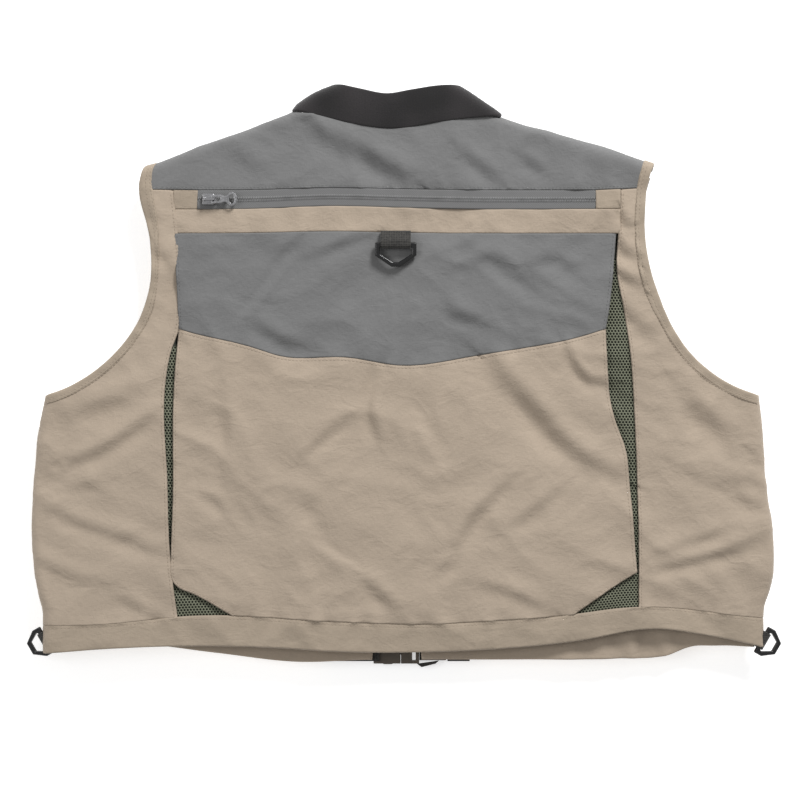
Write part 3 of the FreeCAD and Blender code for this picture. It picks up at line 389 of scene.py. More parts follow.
fold_lines = {id(e): lengthen(shift(offset(e, -ROLL))) for e in SIDES + SHOULDERS + NECK}


def leaning(points, edge, reach):
    """Moves cloth sideways near an edge of a panel."""
    line, edge = curve(points, 6.0), curve(edge, 6.0)

    def move(xy):
        near = np.clip(1 - np.abs(nearest(xy, edge)[:, 0]) / reach, 0, 1)
        return np.interp(xy[:, 1], line[:, 0], line[:, 1]) * near**2 * (3 - 2 * near)

    return move


def roll(xy, height, edges):
    """Cloth at that height, bent round the edges of the vest where it reaches past them."""
    place = np.c_[xy, height]
    deepest = np.zeros(len(xy))
    for edge in edges:
        found = nearest(xy, fold_lines[id(edge)])
        past = found[:, 0]
        on = past > np.maximum(deepest, 1e-6)
        if not on.any():
            continue
        deepest[on] = past[on]
        out = (xy[on] - found[on, 2:]) / past[on, None]
        angle = np.minimum(past[on] / ROLL, math.pi)
        rest = np.maximum(past[on] - math.pi * ROLL, 0)
        radius = height[on] - MID
        place[on, :2] = found[on, 2:] + out * (radius * np.sin(angle) - rest)[:, None]
        place[on, 2] = MID + radius * np.cos(angle)
    return place, deepest


def back(level, edges=(), calm=1.0, extra=None, moves=()):
    """How a panel of the back lies: level is the height of its middle."""

    def lay(xy, up):
        xy = np.asarray(xy, float)
        flat = shift(xy)
        for move in moves:
            flat[:, 0] += move(xy)
        past = np.zeros(len(xy))
        for edge in edges:
            past = np.maximum(past, nearest(flat, fold_lines[id(edge)])[:, 0])
        ripple = wrinkle(xy) * calm * np.clip(1 - past / (2.6 * ROLL), 0, 1)
        height = level + up + ripple + (extra(xy) if extra else 0)
        return roll(flat, height, edges)[0]

    lay.flip = False
    return lay


def front(level, extra=None, calm=1.0):
    """How a panel of the front lies: its outer face looks down."""

    def lay(xy, up):
        xy = np.asarray(xy, float)
        drop = extra(xy) if extra else 0
        foot = lift(FRONT_FOOT, xy[:, 0]) * np.clip((HEM_Y - xy[:, 1]) / 22, 0, 1)
        height = level - up - drop + 0.35 * calm * front_noise(*xy.T)
        return np.c_[xy[:, 0] + sideways(xy), xy[:, 1] + foot, height]

    lay.flip = True
    return lay


# ---- meshes
def triangulate(loop, step, rings, lines):
    """Points and triangles that fill a loop: finer along its edge and along the given lines."""
    border = closed(loop)
    inward = normals(np.vstack([loop[-1:], loop, loop[:1]]))[1:-1]
    extra = []
    for ring in rings:
        points = loop + inward * ring
        extra.append(points[np.abs(nearest(points, border)[:, 0]) > 0.9 * ring])
    for line in lines:
        for gap in (-SEAM_HALF, 0.0, SEAM_HALF):
            points = offset(line, gap)
            extra.append(points[np.abs(nearest(points, border)[:, 0]) > 0.35])
    low, high = loop.min(0), loop.max(0)
    rise = step * math.sqrt(3) / 2
    rows = np.arange(low[1] + rise / 2, high[1], rise)
    grid = np.array([(x + (k % 2) * step / 2, y) for k, y in enumerate(rows)
                     for x in np.arange(low[0], high[0], step)])
    if len(grid):
        grid = grid[inside(grid, loop)]
        grid = grid[np.abs(nearest(grid, border)[:, 0]) > max(rings, default=0) + 0.5 * step]
        for line in lines:
            grid = grid[np.abs(nearest(grid, line)[:, 0]) > SEAM_HALF + 0.4 * step]
        extra.append(grid)
    extra = [e[inside(e, loop)] for e in extra if len(e)]
    points = np.vstack([loop, *extra])
    count = len(loop)
    border_edges = [(i, (i + 1) % count) for i in range(count)]
    result = delaunay_2d_cdt([tuple(p) for p in points], border_edges, [], 1, 1e-4)
    points = np.array([tuple(v) for v in result[0]])
    faces = np.array([f for f in result[2] if len(f) == 3])
    faces = faces[inside(points[faces].mean(1), loop)]
    a, b, c = (points[faces[:, k]] for k in range(3))
    u, v = b - a, c - a
    turned = u[:, 0] * v[:, 1] - u[:, 1] * v[:, 0] < 0
    faces[turned] = faces[turned][:, ::-1]
    return points, faces


def to_object(name, points, faces, material, body="vest"):
    mesh = bpy.data.meshes.new(name)
    mesh.from_pydata([tuple(p) for p in np.asarray(points) * MM], [], [tuple(int(i) for i in f) for f in faces])
    mesh.update()
    mesh.polygons.foreach_set("use_smooth", [True] * len(mesh.polygons))
    obj = bpy.data.objects.new(name, mesh)
    scene.collection.objects.link(obj)
    mesh.materials.append(material)
    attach(obj, body)
    return obj


threads = {}  # rows of stitches, by body and colour


def panel(name, loop, lay, fabric, node=None, thick=1.5, body="vest", step=3.0, rounding=None, seams=(),
          seam_depth=SEAM_DEPTH, rings=(0.5, 1.3, 2.4), thread=None, sheet="laid", with_pieces=(), sharp=20):
    """A closed piece of cloth with rounded edges, shown for that CAD node. fabric is its material and a slot
    name, which is not used, and seams are (line, offset) of its stitched rows."""
    loop = even(loop, min(step, 3.0), sharp)
    rows = [offset(curve(line, 2.5), gap) for line, gap in seams]
    points, faces = triangulate(loop, step, rings, rows)
    edge = np.abs(nearest(points, closed(loop))[:, 0])
    bend = rounding or thick * 0.48
    bevel = np.where(edge < bend, bend - np.sqrt(np.maximum(bend**2 - (bend - edge) ** 2, 0)), 0)
    groove = np.zeros(len(points))
    for row in rows:
        groove = np.maximum(groove, seam_depth * np.exp(-((nearest(points, row)[:, 0] / SEAM_HALF) ** 2)))
        if thread:
            up = thick / 2 - seam_depth + 0.04
            threads.setdefault((body, thread), []).append((resample(row, 0.8), lay, up))
    keep = min(bend, thick * 0.48) / bend
    top = lay(points, thick / 2 - bevel * keep - groove)
    low = lay(points, -thick / 2 + bevel * keep)
    count = len(points)
    border = {}
    for a, b, c in faces:
        for e in ((a, b), (b, c), (c, a)):
            if border.pop((e[1], e[0]), None) is None:
                border[e] = True
    all_faces = [tuple(f) for f in faces] + [tuple(f[::-1] + count) for f in faces]
    all_faces += [(b, a, a + count, b + count) for a, b in border]
    if lay.flip:
        all_faces = [f[::-1] for f in all_faces]
    material, slot = fabric
    obj = to_object(name, np.vstack([top, low]), all_faces, material, body)
    if node:
        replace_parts(obj, node)
    a, b, c = (top[faces[:, k]] for k in range(3))
    shown = float(norm(np.cross(b - a, c - a), axis=1).sum() / 2)
    grow = math.sqrt(max(shown / abs(area_of(loop)), 1.0))
    return obj


# ---- materials
def srgb(*values):
    return tuple((v / 255 / 12.92 if v <= 10 else ((v / 255 + 0.055) / 1.055) ** 2.4) for v in values) + (1,)


def scaled(colour, k):
    return tuple(min(c * k, 1) for c in colour[:3]) + (1,)


class Paint:
    """A material and the nodes that make it, measured in millimetres of the object's own space."""

    def __init__(self, name, rough, sheen=0.0, metal=0.0, coat=0.0):
        self.material = bpy.data.materials.new(name)
        self.material.use_nodes = True
        self.tree = self.material.node_tree
        self.link = self.tree.links.new
        self.sockets = self.tree.nodes["Principled BSDF"].inputs
        for socket, value in (("Roughness", rough), ("Metallic", metal), ("Sheen Weight", sheen),
                              ("Sheen Roughness", 0.5), ("Coat Weight", coat)):
            self.sockets[socket].default_value = value
        self.place = self.node("TexCoord").outputs["Object"]
        self.place = self.mapped((1000, 1000, 1000))

    def node(self, kind, **values):
        node = self.tree.nodes.new("ShaderNode" + kind)
        for name, value in values.items():
            node.inputs[name].default_value = value
        return node

    def mapped(self, scale):
        node = self.node("Mapping", Scale=scale)
        self.link(self.place, node.inputs["Vector"])
        return node.outputs["Vector"]

    def noise(self, size, detail=2.0, stretch=(1, 1, 1), rough=0.5, distortion=0.0):
        node = self.node("TexNoise", Scale=1.0, Detail=detail, Roughness=rough, Distortion=distortion)
        self.link(self.mapped(tuple(1 / (size * s) for s in stretch)), node.inputs["Vector"])
        return node.outputs["Fac"]

    def wave(self, period, axis, distortion):
        node = self.node("TexWave", Scale=2 * math.pi / (20 * period), Distortion=distortion)
        node.bands_direction = axis
        self.link(self.place, node.inputs["Vector"])
        return node.outputs["Fac"]

    def maths(self, kind, a, b):
        node = self.node("Math")
        node.operation = kind
        for socket, value in zip(node.inputs, (a, b)):
            if isinstance(value, (int, float)):
                socket.default_value = value
            else:
                self.link(value, socket)
        return node.outputs[0]

    def mix(self, a, share, b):
        return self.maths("ADD", self.maths("MULTIPLY", a, share), self.maths("MULTIPLY", b, 1 - share))

    def ramp(self, socket, factor, *stops):
        """Drives one of the shader's sockets by a ramp over the factor."""
        node = self.node("ValToRGB")
        while len(node.color_ramp.elements) < len(stops):
            node.color_ramp.elements.new(0.5)
        for element, (place, colour) in zip(node.color_ramp.elements, stops):
            element.position, element.color = place, colour
        self.link(factor, node.inputs["Fac"])
        self.link(node.outputs["Color"], self.sockets[socket])

    def tint(self, factor, colour, *stops):
        """The colour, times k where the factor is at that place."""
        self.ramp("Base Color", factor, *((place, scaled(colour, k)) for place, k in stops))

    def roughness(self, factor, low, high):
        self.ramp("Roughness", factor, (0.3, (low,) * 3 + (1,)), (0.7, (high,) * 3 + (1,)))

    def bump(self, height, distance, strength):
        """The surface's fine relief, which completes the material."""
        node = self.node("Bump", Distance=distance * MM, Strength=strength)
        self.link(height, node.inputs["Height"])
        self.link(node.outputs["Normal"], self.sockets["Normal"])
        return self.material


def cloth(name, colour, spread=0.035, weave=0.8, rough=0.82, crinkle=0.35):
    """Crisp woven nylon: slubby threads both ways, small crinkles and creases, and an uneven tone."""
    paint = Paint(name, rough, 0.12)
    yarns = paint.mix(paint.noise(weave, 1.5, (5, 1, 1)), 0.5, paint.noise(weave, 1.5, (1, 5, 1)))
    tone = paint.mix(yarns, 0.62, paint.noise(38, 3.0, rough=0.6))
    paint.tint(tone, colour, (0.25, 1 - 2.6 * spread), (0.5, 1), (0.75, 1 + 2.6 * spread))
    small = paint.noise(5.5, 3.0, rough=0.6, distortion=0.4)
    creased = paint.noise(17, 4.0, (1.5, 1, 1), distortion=0.5)
    crease = paint.maths("ABSOLUTE", paint.maths("SUBTRACT", creased, 0.5), 0)
    crumple = paint.maths("SUBTRACT", paint.maths("MULTIPLY", small, crinkle * 3),
                          paint.maths("MULTIPLY", crease, crinkle * 9))
    return paint.bump(paint.maths("ADD", paint.maths("MULTIPLY", yarns, 0.5), crumple), 0.55, 0.8)


def knit():
    """Brushed knit over foam: fine ribs and a soft sheen."""
    paint = Paint("collar_knit", 0.9, 0.25)
    fuzz = paint.noise(0.9, 3.0)
    paint.tint(paint.mix(fuzz, 0.2, paint.noise(60, 1.0)), srgb(31, 28, 29), (0.4, 0.4), (0.6, 1.7))
    ribs = paint.maths("MULTIPLY", paint.wave(1.3, "X", 1.2), 0.3)
    return paint.bump(paint.maths("ADD", ribs, fuzz), 0.35, 0.8)


def yarn(name, colour):
    paint = Paint(name, 0.75, 0.15)
    fuzz = paint.noise(0.5, 2.0)
    paint.tint(fuzz, colour, (0.25, 0.75), (0.75, 1.25))
    return paint.bump(fuzz, 0.15, 0.7)


def webbing():
    """Narrow woven webbing: fine cross ribs and coarser rows."""
    paint = Paint("webbing", 0.8, 0.2)
    rows = paint.maths("MULTIPLY", paint.wave(2.1, "X", 0.8), 0.8)
    weave = paint.maths("MAXIMUM", paint.wave(1.5, "Y", 0.6), rows)
    tone = paint.mix(weave, 0.35, paint.noise(1.3, 2.0, (2, 1, 1)))
    paint.tint(tone, srgb(28, 27, 25), (0.35, 0.2), (0.7, 3.6))
    return paint.bump(tone, 0.4, 1.0)


def moulded(name, colour, rough, coat=0.0):
    paint = Paint(name, rough, coat=coat)
    grain = paint.noise(1.1, 3.0)
    paint.tint(paint.noise(9.0, 3.0), colour, (0.3, 0.85), (0.7, 1.15))
    paint.roughness(grain, rough * 0.8, min(rough * 1.25, 1))
    return paint.bump(grain, 0.05, 0.5)


def cast_metal():
    """Plated zinc: grey metal with soft blotches and fine scratches."""
    paint = Paint("zip_metal", 0.34, metal=0.95)
    grain = paint.noise(0.7, 3.0)
    tone = paint.mix(grain, 0.5, paint.noise(0.5, 2.0, (8, 1, 1)))
    paint.ramp("Base Color", tone, (0.3, srgb(140, 140, 142)), (0.7, srgb(192, 192, 194)))
    paint.roughness(grain, 0.3, 0.42)
    return paint.bump(tone, 0.01, 0.3)


def zip_tape():
    """Zip tape: herringbone ribs along its length."""
    paint = Paint("zip_tape", 0.85, 0.15)
    tone = paint.mix(paint.wave(0.9, "DIAGONAL", 0.5), 0.5, paint.noise(0.7, 2.0))
    paint.tint(tone, srgb(110, 110, 110), (0.2, 0.82), (0.8, 1.15))
    return paint.bump(tone, 0.25, 0.8)


# Each fabric is a material and its slot.
TAN = cloth("tan_cloth", srgb(168, 153, 136)), "tan_cloth"
GREY = cloth("grey_cloth", srgb(112, 112, 112), spread=0.04), "grey_cloth"
BINDING = cloth("binding_cloth", srgb(160, 146, 129), spread=0.05, weave=0.6, crinkle=0.2), "binding"
# The hem's darker tan. The zip tabs wear it too, as painted shade of their folded cloth.
HEM = cloth("hem_cloth", srgb(159, 145, 128)), "tan_cloth"
TAN_THREAD = cloth("tan_thread", srgb(168, 153, 136), spread=0.04, crinkle=0.0)
GREY_THREAD = cloth("grey_thread", srgb(112, 112, 112), spread=0.04, crinkle=0.0)
KNIT = knit(), "collar_knit"
MESH_YARN = yarn("mesh_yarn", srgb(121, 124, 104))
# A dark olive sheet under the net: painted shade of the vest's inside, seen through the holes.
MESH_SHADE_SHEET = yarn("mesh_painted_shade", srgb(42, 44, 34)), "mesh"
WEBBING = webbing()
BLACK = moulded("black_plastic", srgb(20, 20, 21), 0.28, 0.3)
OLIVE = moulded("olive_plastic", srgb(84, 76, 66), 0.5)
COIL = moulded("zip_coil", srgb(124, 124, 124), 0.6)
METAL = cast_metal()
TAPE = zip_tape(), "zip_tape"
HOOK = cloth("hook_loop", srgb(150, 140, 122), spread=0.1, weave=0.5, rough=0.95, crinkle=0.5)

# ---- the back
BACK_LEVEL = 28.75


def tucked(edge):
    """Cloth near that edge lies a little lower, under the pocket."""
    line = curve(edge, 6.0)

    def low(xy):
        near = np.clip(1 - np.abs(nearest(xy, line)[:, 0]) / 16, 0, 1)
        return -0.8 * near * np.clip((xy[:, 1] - 20) / 20, 0, 1)

    return low


def cross_folds(xy):
    """Creases across a narrow strip."""
    return 1.1 * (0.3 - np.abs(strip_folds(xy[:, 0] + 0.3 * xy[:, 1], xy[:, 1] * 0.35)))


def rectangle(low, high):
    """The loop between two corners."""
    return np.array([low, (high[0], low[1]), high, (low[0], high[1])], float)


def box_of(node):
    """The low and the high corner of a CAD node, in the plane."""
    return [np.array(corner[:2]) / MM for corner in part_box(node)]


yoke_loop = wrap(yoke, SHOULDERS)
yoke_loop[(np.abs(yoke_loop[:, 0]) < 79) & (yoke_loop[:, 1] > 200), 1] += 2.5  # it reaches under the collar
panel("yoke_cloth", yoke_loop, back(BACK_LEVEL, SHOULDERS), GREY, "yoke_back",
      seams=[(((-217, ZIP_SEAM_Y), (205, ZIP_SEAM_Y)), 2.2)], thread="grey")

for side, sign, edge, shoulder in HALVES:
    loop = outline(f"side_panel_{side}")
    inner = piece_of(loop, (sign * 197, HEM_Y), (MIDDLE_X + sign * 189, ZIP_SEAM_Y))
    lean = leaning(LEFT_PANEL if sign < 0 else RIGHT_PANEL, inner, 20)
    lay = back(BACK_LEVEL, (edge,), extra=tucked(inner), moves=[lean])
    panel(f"side_cloth_{side}", wrap(loop, (edge,)), lay, TAN, f"side_panel_{side}",
          seams=[(inner, -sign * 2.4)], thread="tan")

KNEE = (194.5, -172)  # the lower pocket's right knee, a corner instead of its bevel
pocket, upper = outline("rear_pocket_lower"), outline("rear_pocket_upper")
bevel = (pocket[:, 0] > 150) & (pocket[:, 1] < -150)
pocket = np.insert(pocket[~bevel], np.argmax(bevel), KNEE, 0)
pocket_right = resample(piece_of(pocket, (141, HEM_Y), GREY_LOW[1]), 4.0)
pocket_left = piece_of(pocket, (-145, HEM_Y), GREY_LOW[0])
upper_left, upper_right = (piece_of(upper, low, high) for low, high in zip(GREY_LOW, GREY_TOP))
leans = [leaning(LEFT_POCKET, np.vstack([pocket_left, upper_left[1:]]), 50),
         leaning(RIGHT_POCKET, np.vstack([pocket_right, upper_right[1:]]), 50)]
pocket_lay = back(BACK_LEVEL + 0.4, moves=leans)
panel("pocket_lower_cloth", pocket, pocket_lay, TAN, "rear_pocket_lower", thread="tan",
      seams=[(pocket_right, 2.4), (pocket_left, -2.4), (piece_of(pocket, *GREY_LOW), -2.2)])
panel("pocket_upper_cloth", upper, pocket_lay, GREY, "rear_pocket_upper", thread="grey",
      seams=[(upper_right, 2.4), (upper_left, -2.4)])
strip_lay = back(BACK_LEVEL + 0.1, extra=cross_folds)
panel("pocket_strip_cloth", rectangle(*box_of("rear_pocket_strip")), strip_lay, TAN, "rear_pocket_strip")
panel("hem_back_cloth", wrap(outline("hem_band_back"), SIDES), back(BACK_LEVEL - 0.65, SIDES), HEM,
      "hem_band_back", thick=2.4, seams=[(((-305, HEM_Y), (305, HEM_Y)), -2.4)], thread="tan")
for side in ("left", "right"):
    tab = f"rear_zip_tab_{side}"
    # The tabs take the hem's darker tan as painted shade of their folded cloth.
    panel(f"zip_tab_cloth_{side}", rectangle(*box_of(tab)), strip_lay, HEM, tab, thick=1.6, step=2.0,
          sheet="folded")


def gathered(xy):
    """Small puckers along a binding."""
    return 0.35 * binding_puckers(*np.asarray(xy, float).T)


for k, (side, sign, *edges) in enumerate(HALVES):
    loop = outline(f"armhole_binding_back_{side}")
    arm = piece_of(loop, ARMPITS[k], TIPS[k])
    panel(f"binding_back_{side}", wrap(loop, edges), back(BACK_LEVEL + 0.2, edges, extra=gathered), BINDING,
          f"armhole_binding_back_{side}", thick=2.6, step=2.4, sheet=None, rounding=1.2,
          seams=[(arm, sign * 7.2), (arm, sign * 4.6)], seam_depth=0.3, thread="binding")

# ---- the collar
COLLAR_TOP = ((44, 246), (26, 244.6), (6, 241.4), (-15, 238.2), (-36, 242), (-56, 246.5))
CORNER_Y, CORNER_TRIM = 252, (4.9, -3.4)  # the collar's corners lie above this, and move outwards and down
cut = outline("collar")
cut = np.roll(cut, -np.argmin(norm(cut - COLLAR_TOP[-1], axis=1)), 0)
on_top = (np.abs(cut[:, 0] - MIDDLE_X) < 51.5) & (cut[:, 1] > 230)
collar_loop = wrap(np.vstack([cut[~on_top], curve(COLLAR_TOP)]), NECK)
corner = collar_loop[:, 1] > CORNER_Y
collar_loop[corner, 0] += np.sign(collar_loop[corner, 0] - MIDDLE_X) * CORNER_TRIM[0]
collar_loop[corner, 1] += CORNER_TRIM[1]


def stuffed(loop, lay, gain, reach):
    """The same lay for a padded piece, fuller away from its edges."""
    border = closed(even(loop, 3.0, 50))

    def fuller(xy, up):
        edge = np.abs(nearest(np.asarray(xy, float), border)[:, 0])
        return lay(xy, up * (1 + gain * (1 - (1 - np.clip(edge / reach, 0, 1)) ** 2)))

    fuller.flip = lay.flip
    return fuller


COLLAR_RINGS = (0.4, 0.9, 1.6, 2.6)
collar = panel("collar_padding", collar_loop, stuffed(collar_loop, back(29.4, NECK, calm=0.25), 0.7, 10), KNIT,
               "collar", thick=2.8, sheet=None, rounding=1.4, rings=COLLAR_RINGS, sharp=50)
for side, sign in (("left", -1), ("right", 1)):
    loop = wrap(outline("collar", level=12.5, side=sign), NECK, -ROLL)
    half = panel(f"collar_front_{side}", loop, stuffed(loop, front(14.1, calm=0.3), 0.45, 9), KNIT, thick=2.6,
                 sheet=None, rounding=1.3, rings=COLLAR_RINGS)

# ---- the mesh under the rear pocket
NET_TOP = (24, 100)  # the net shows below this, left and right
HOLE = 0.66  # how much of a cell is hole
net_loop = np.array([(-211, HEM_Y), (199, HEM_Y), (199, -20), (190, 156), (-202, 156), (-211, -20)], float)
pocket_border = np.vstack([curve(pocket_left), curve(upper_left), curve(upper_right[::-1]),
                           curve(pocket_right)[::-1]])


def depth_in(xy, loop):
    """How far inside a loop each point is."""
    return np.where(inside(xy, loop), 1, -1) * np.abs(nearest(xy, closed(loop))[:, 0])


def sunk(xy):
    """The mesh lies lower under the pocket, and where the side panels cover it."""
    xy = np.asarray(xy, float)
    covered = np.clip((xy[:, 1] - np.where(xy[:, 0] < 0, NET_TOP[0], NET_TOP[1])) / 15, 0, 1)
    return -2.6 * np.clip((depth_in(xy, pocket_border) + 7) / 14, 0, 1) - 2.2 * covered


net_lay = back(26.5, extra=sunk, calm=0.9)


def make_net():
    """The knitted mesh where it shows: a hexagonal net of flat yarn."""
    pitch = 2.7
    rise = pitch * math.sqrt(3) / 2
    low, high = net_loop.min(0), net_loop.max(0)
    centres = np.array([(x + (k % 2) * pitch / 2, y) for k, y in enumerate(np.arange(low[1] + 1, high[1], rise))
                        for x in np.arange(low[0] + 1, high[0], pitch)])
    shown = depth_in(centres, pocket_border) < 7
    for side in ("left", "right"):
        shown &= depth_in(centres, outline(f"side_panel_{side}")) < 4
    shown &= centres[:, 1] < np.where(centres[:, 0] < 0, NET_TOP[0], NET_TOP[1])
    centres = centres[shown]
    corners = np.radians(np.arange(6) * 60 + 30)
    ring = np.c_[np.cos(corners), np.sin(corners)]
    outer = centres[:, None] + ring * (pitch / math.sqrt(3))
    hole = centres[:, None] + ring * (pitch / math.sqrt(3) * HOLE) * np.array([1.0, 1.08])
    count = len(centres)
    xy = np.concatenate([outer.reshape(-1, 2), hole.reshape(-1, 2)])
    half = np.r_[np.full(6 * count, 0.32), np.full(6 * count, 0.12)]
    faces, total = [], 12 * count
    for c in range(count):
        for k in range(6):
            a, b = 6 * c + k, 6 * c + (k + 1) % 6
            d, e = a + 6 * count, b + 6 * count
            faces += [(a, b, e, d), (d + total, e + total, b + total, a + total), (d, e, e + total, d + total)]
    verts = np.vstack([net_lay(xy, half), net_lay(xy, -half)])
    return to_object("net_yarn", verts, faces, MESH_YARN)


net = make_net()
# The sheet under the net is dark as painted shade, where the holes show the vest's inside.
panel("net_shade_sheet", net_loop, back(25.4, extra=sunk, calm=0.9), MESH_SHADE_SHEET, "back_mesh", thick=0.5, step=4.0,
      rings=(0.6,), with_pieces=[net])


# ---- zips
def tapes(halves, lay, thick, node):
    """The halves of a zip's tape, each (name, low corner, high corner). The first one is shown for the node."""
    for name, low, high in halves:
        panel(name, rectangle(low, high), lay, TAPE, node, thick=thick, step=2.4, rings=(0.5, 1.2), sheet=None)
        node = None


def coil(name, start, end, lay, node, width=5.0):
    """A closed zip coil, shown for that CAD node: two rows of rounded teeth that meet in the middle."""
    line = resample([start, end], 1.4)
    left = normals(line)[0]
    way = np.array([left[1], -left[0]])
    verts, faces = [], []
    profile = ((0.0, 0.2, 0.0), (0.1, 0.46, 0.5), (0.55, 0.56, 0.8), (0.85, 0.46, 0.7), (1.0, 0.2, 0.2))
    for k, point in enumerate(line[:-1]):
        for side in (1, -1):
            first = len(verts)
            centre = point + way * (0.35 + 0.7 * (side < 0))
            for along, half, high in profile:
                across = side * (width * 0.5 - along * width * 0.56)
                for s in (-1, 1):
                    verts.append((*(centre + left * across + way * s * half), 0.0))
                    verts.append((*(centre + left * across + way * s * half * 0.6), high))
            for j in range(len(profile) - 1):
                a, b = first + 4 * j, first + 4 * j + 4
                quads = [(a, a + 1, b + 1, b), (a + 1, a + 3, b + 3, b + 1), (a + 3, a + 2, b + 2, b + 3),
                         (a + 2, a, b, b + 2)]
                faces += quads if side > 0 else [q[::-1] for q in quads]
            last = first + 4 * (len(profile) - 1)
            caps = [(first, first + 2, first + 3, first + 1), (last, last + 1, last + 3, last + 2)]
            faces += caps if side > 0 else [c[::-1] for c in caps]
    verts = np.array(verts)
    if lay.flip:
        faces = [f[::-1] for f in faces]
    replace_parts(to_object(name, lay(verts[:, :2], verts[:, 2]), faces, COIL), node)


TAPE_CALM = 0.25  # the tape lies flatter than the cloth, so that its slider clears it
(x0, y0), (x1, y1) = box_of("rear_zip_tape")
mid_y = (y0 + y1) / 2
tapes((("rear_tape_low", (x0 - 0.8, mid_y - 8), (x1 + 0.8, mid_y - 0.2)),
       ("rear_tape_high", (x0 - 0.8, mid_y + 0.2), (x1 + 0.8, mid_y + 8))),
      back(BACK_LEVEL - 0.35, calm=TAPE_CALM), 1.0, "rear_zip_tape")
coil("rear_teeth", (x0, mid_y), (x1, mid_y), back(BACK_LEVEL - 0.1, calm=TAPE_CALM), "rear_zip_coil")

# ---- the front
FRONT_LEVEL = 14.75
TAPE_GAP = 1.2  # from the middle of a front zip to its tape


def waved(xy):
    """The front's hem stands in waves that reach up inside the vest, most on the right."""
    right = np.clip((xy[:, 0] - 90) / 90, 0, 1) * np.clip((300 - xy[:, 0]) / 30, 0, 1)
    wave_height = 1.2 + inner_waves(xy[:, 0], xy[:, 1] * 0.5) + 1.1 * gathers(xy[:, 0], xy[:, 1] * 0.4) * right
    return -np.clip(wave_height, 0, 3) * (0.4 + 2.0 * right) * np.clip((HEM_Y - xy[:, 1]) / 10, 0, 1)


for side, sign, edge, shoulder in HALVES:
    seam = ((sign * 290, HEM_Y), (-25 if sign < 0 else 13, -215.2))
    for name, node, level, edges, lay, fabric, rest in (
            ("front_cloth", "front_panel", 14.0, (edge,), front(FRONT_LEVEL), TAN, {"step": 4.0}),
            ("front_yoke_cloth", "front_yoke", 14.0, (shoulder,), front(FRONT_LEVEL), GREY, {"step": 4.0}),
            ("front_hem_cloth", "hem_band_front", None, (edge,), front(FRONT_LEVEL, extra=waved), TAN,
             {"thick": 2.4, "seams": [(seam, 2.6 * sign)], "thread": "tan"}),
            ("binding_front", "armhole_binding_front", None, (edge, shoulder), front(FRONT_LEVEL - 0.2),
             BINDING, {"thick": 2.4, "step": 2.4, "sheet": None, "rounding": 1.1})):
        loop = wrap(outline(f"{node}_{side}", up=False, level=level), edges, -ROLL)
        panel(f"{name}_{side}", loop, lay, fabric, f"{node}_{side}", **rest)


def pouch(name, node, levels):
    """A pocket that stands off the front. levels are (y, height of its outer face) from the bottom up."""
    loop = rectangle(*box_of(node))
    border = closed(loop)

    def drop(xy):
        edge = np.abs(nearest(xy, border)[:, 0])
        full = np.interp(xy[:, 1], *np.transpose(levels))
        rounded = np.sqrt(np.clip(1 - (1 - np.clip(edge / 10, 0, 1)) ** 2, 0, 1))
        return (13.9 - 0.6 - full) * rounded

    panel(name, loop, front(13.9, extra=drop, calm=0.0), TAN, node, thick=1.2, step=2.6,
          rings=(0.4, 0.9, 1.6, 2.5, 3.6, 5.0, 7.0))


def hanging(xy):
    """A flap drops from its seam and then lies over the pocket."""
    down = np.clip((-26 - xy[:, 1]) / 10, 0, 1)
    return 12.3 * (0.5 - 0.5 * np.cos(math.pi * down))


for side in ("left", "right"):
    pouch(f"chest_pouch_{side}", f"chest_pocket_{side}", ((0, 0.7), (66, 0.7), (80, 8.5), (110, 8.5)))
    pouch(f"lower_pouch_{side}", f"lower_pocket_{side}", ((-200, 0.6), (-110, 0.6), (-98, 2.8), (-30, 2.8)))
    panel(f"flap_cloth_{side}", outline(f"pocket_flap_{side}", up=False), front(13.3, extra=hanging, calm=0.0),
          TAN, f"pocket_flap_{side}", thick=0.9, body=f"flap_{side}", step=2.2)
    (x0, y0), (x1, y1) = box_of(f"chest_zip_tape_{side}")
    mid_y = (y0 + y1) / 2
    tapes(((f"chest_tape_{side}_low", (x0, y0), (x1, mid_y - TAPE_GAP)),
           (f"chest_tape_{side}_high", (x0, mid_y + TAPE_GAP), (x1, y1))),
          front(8.2, calm=0.0), 0.7, f"chest_zip_tape_{side}")
    coil(f"chest_teeth_{side}", (x0, mid_y), (x1, mid_y), front(8.0, calm=0.0), f"chest_zip_coil_{side}")

(x0, y0), (x1, y1) = box_of("front_zip_tape")
mid_x = (x0 + x1) / 2
tapes((("front_tape_left", (x0, y0), (mid_x - TAPE_GAP, y1)),
       ("front_tape_right", (mid_x + TAPE_GAP, y0), (x1, y1))), front(14.5, calm=0.0), 1.0, "front_zip_tape")
coil("front_teeth", (mid_x, y0 + 2), (mid_x, y1 - 2), front(14.1, calm=0.0), "front_zip_coil")


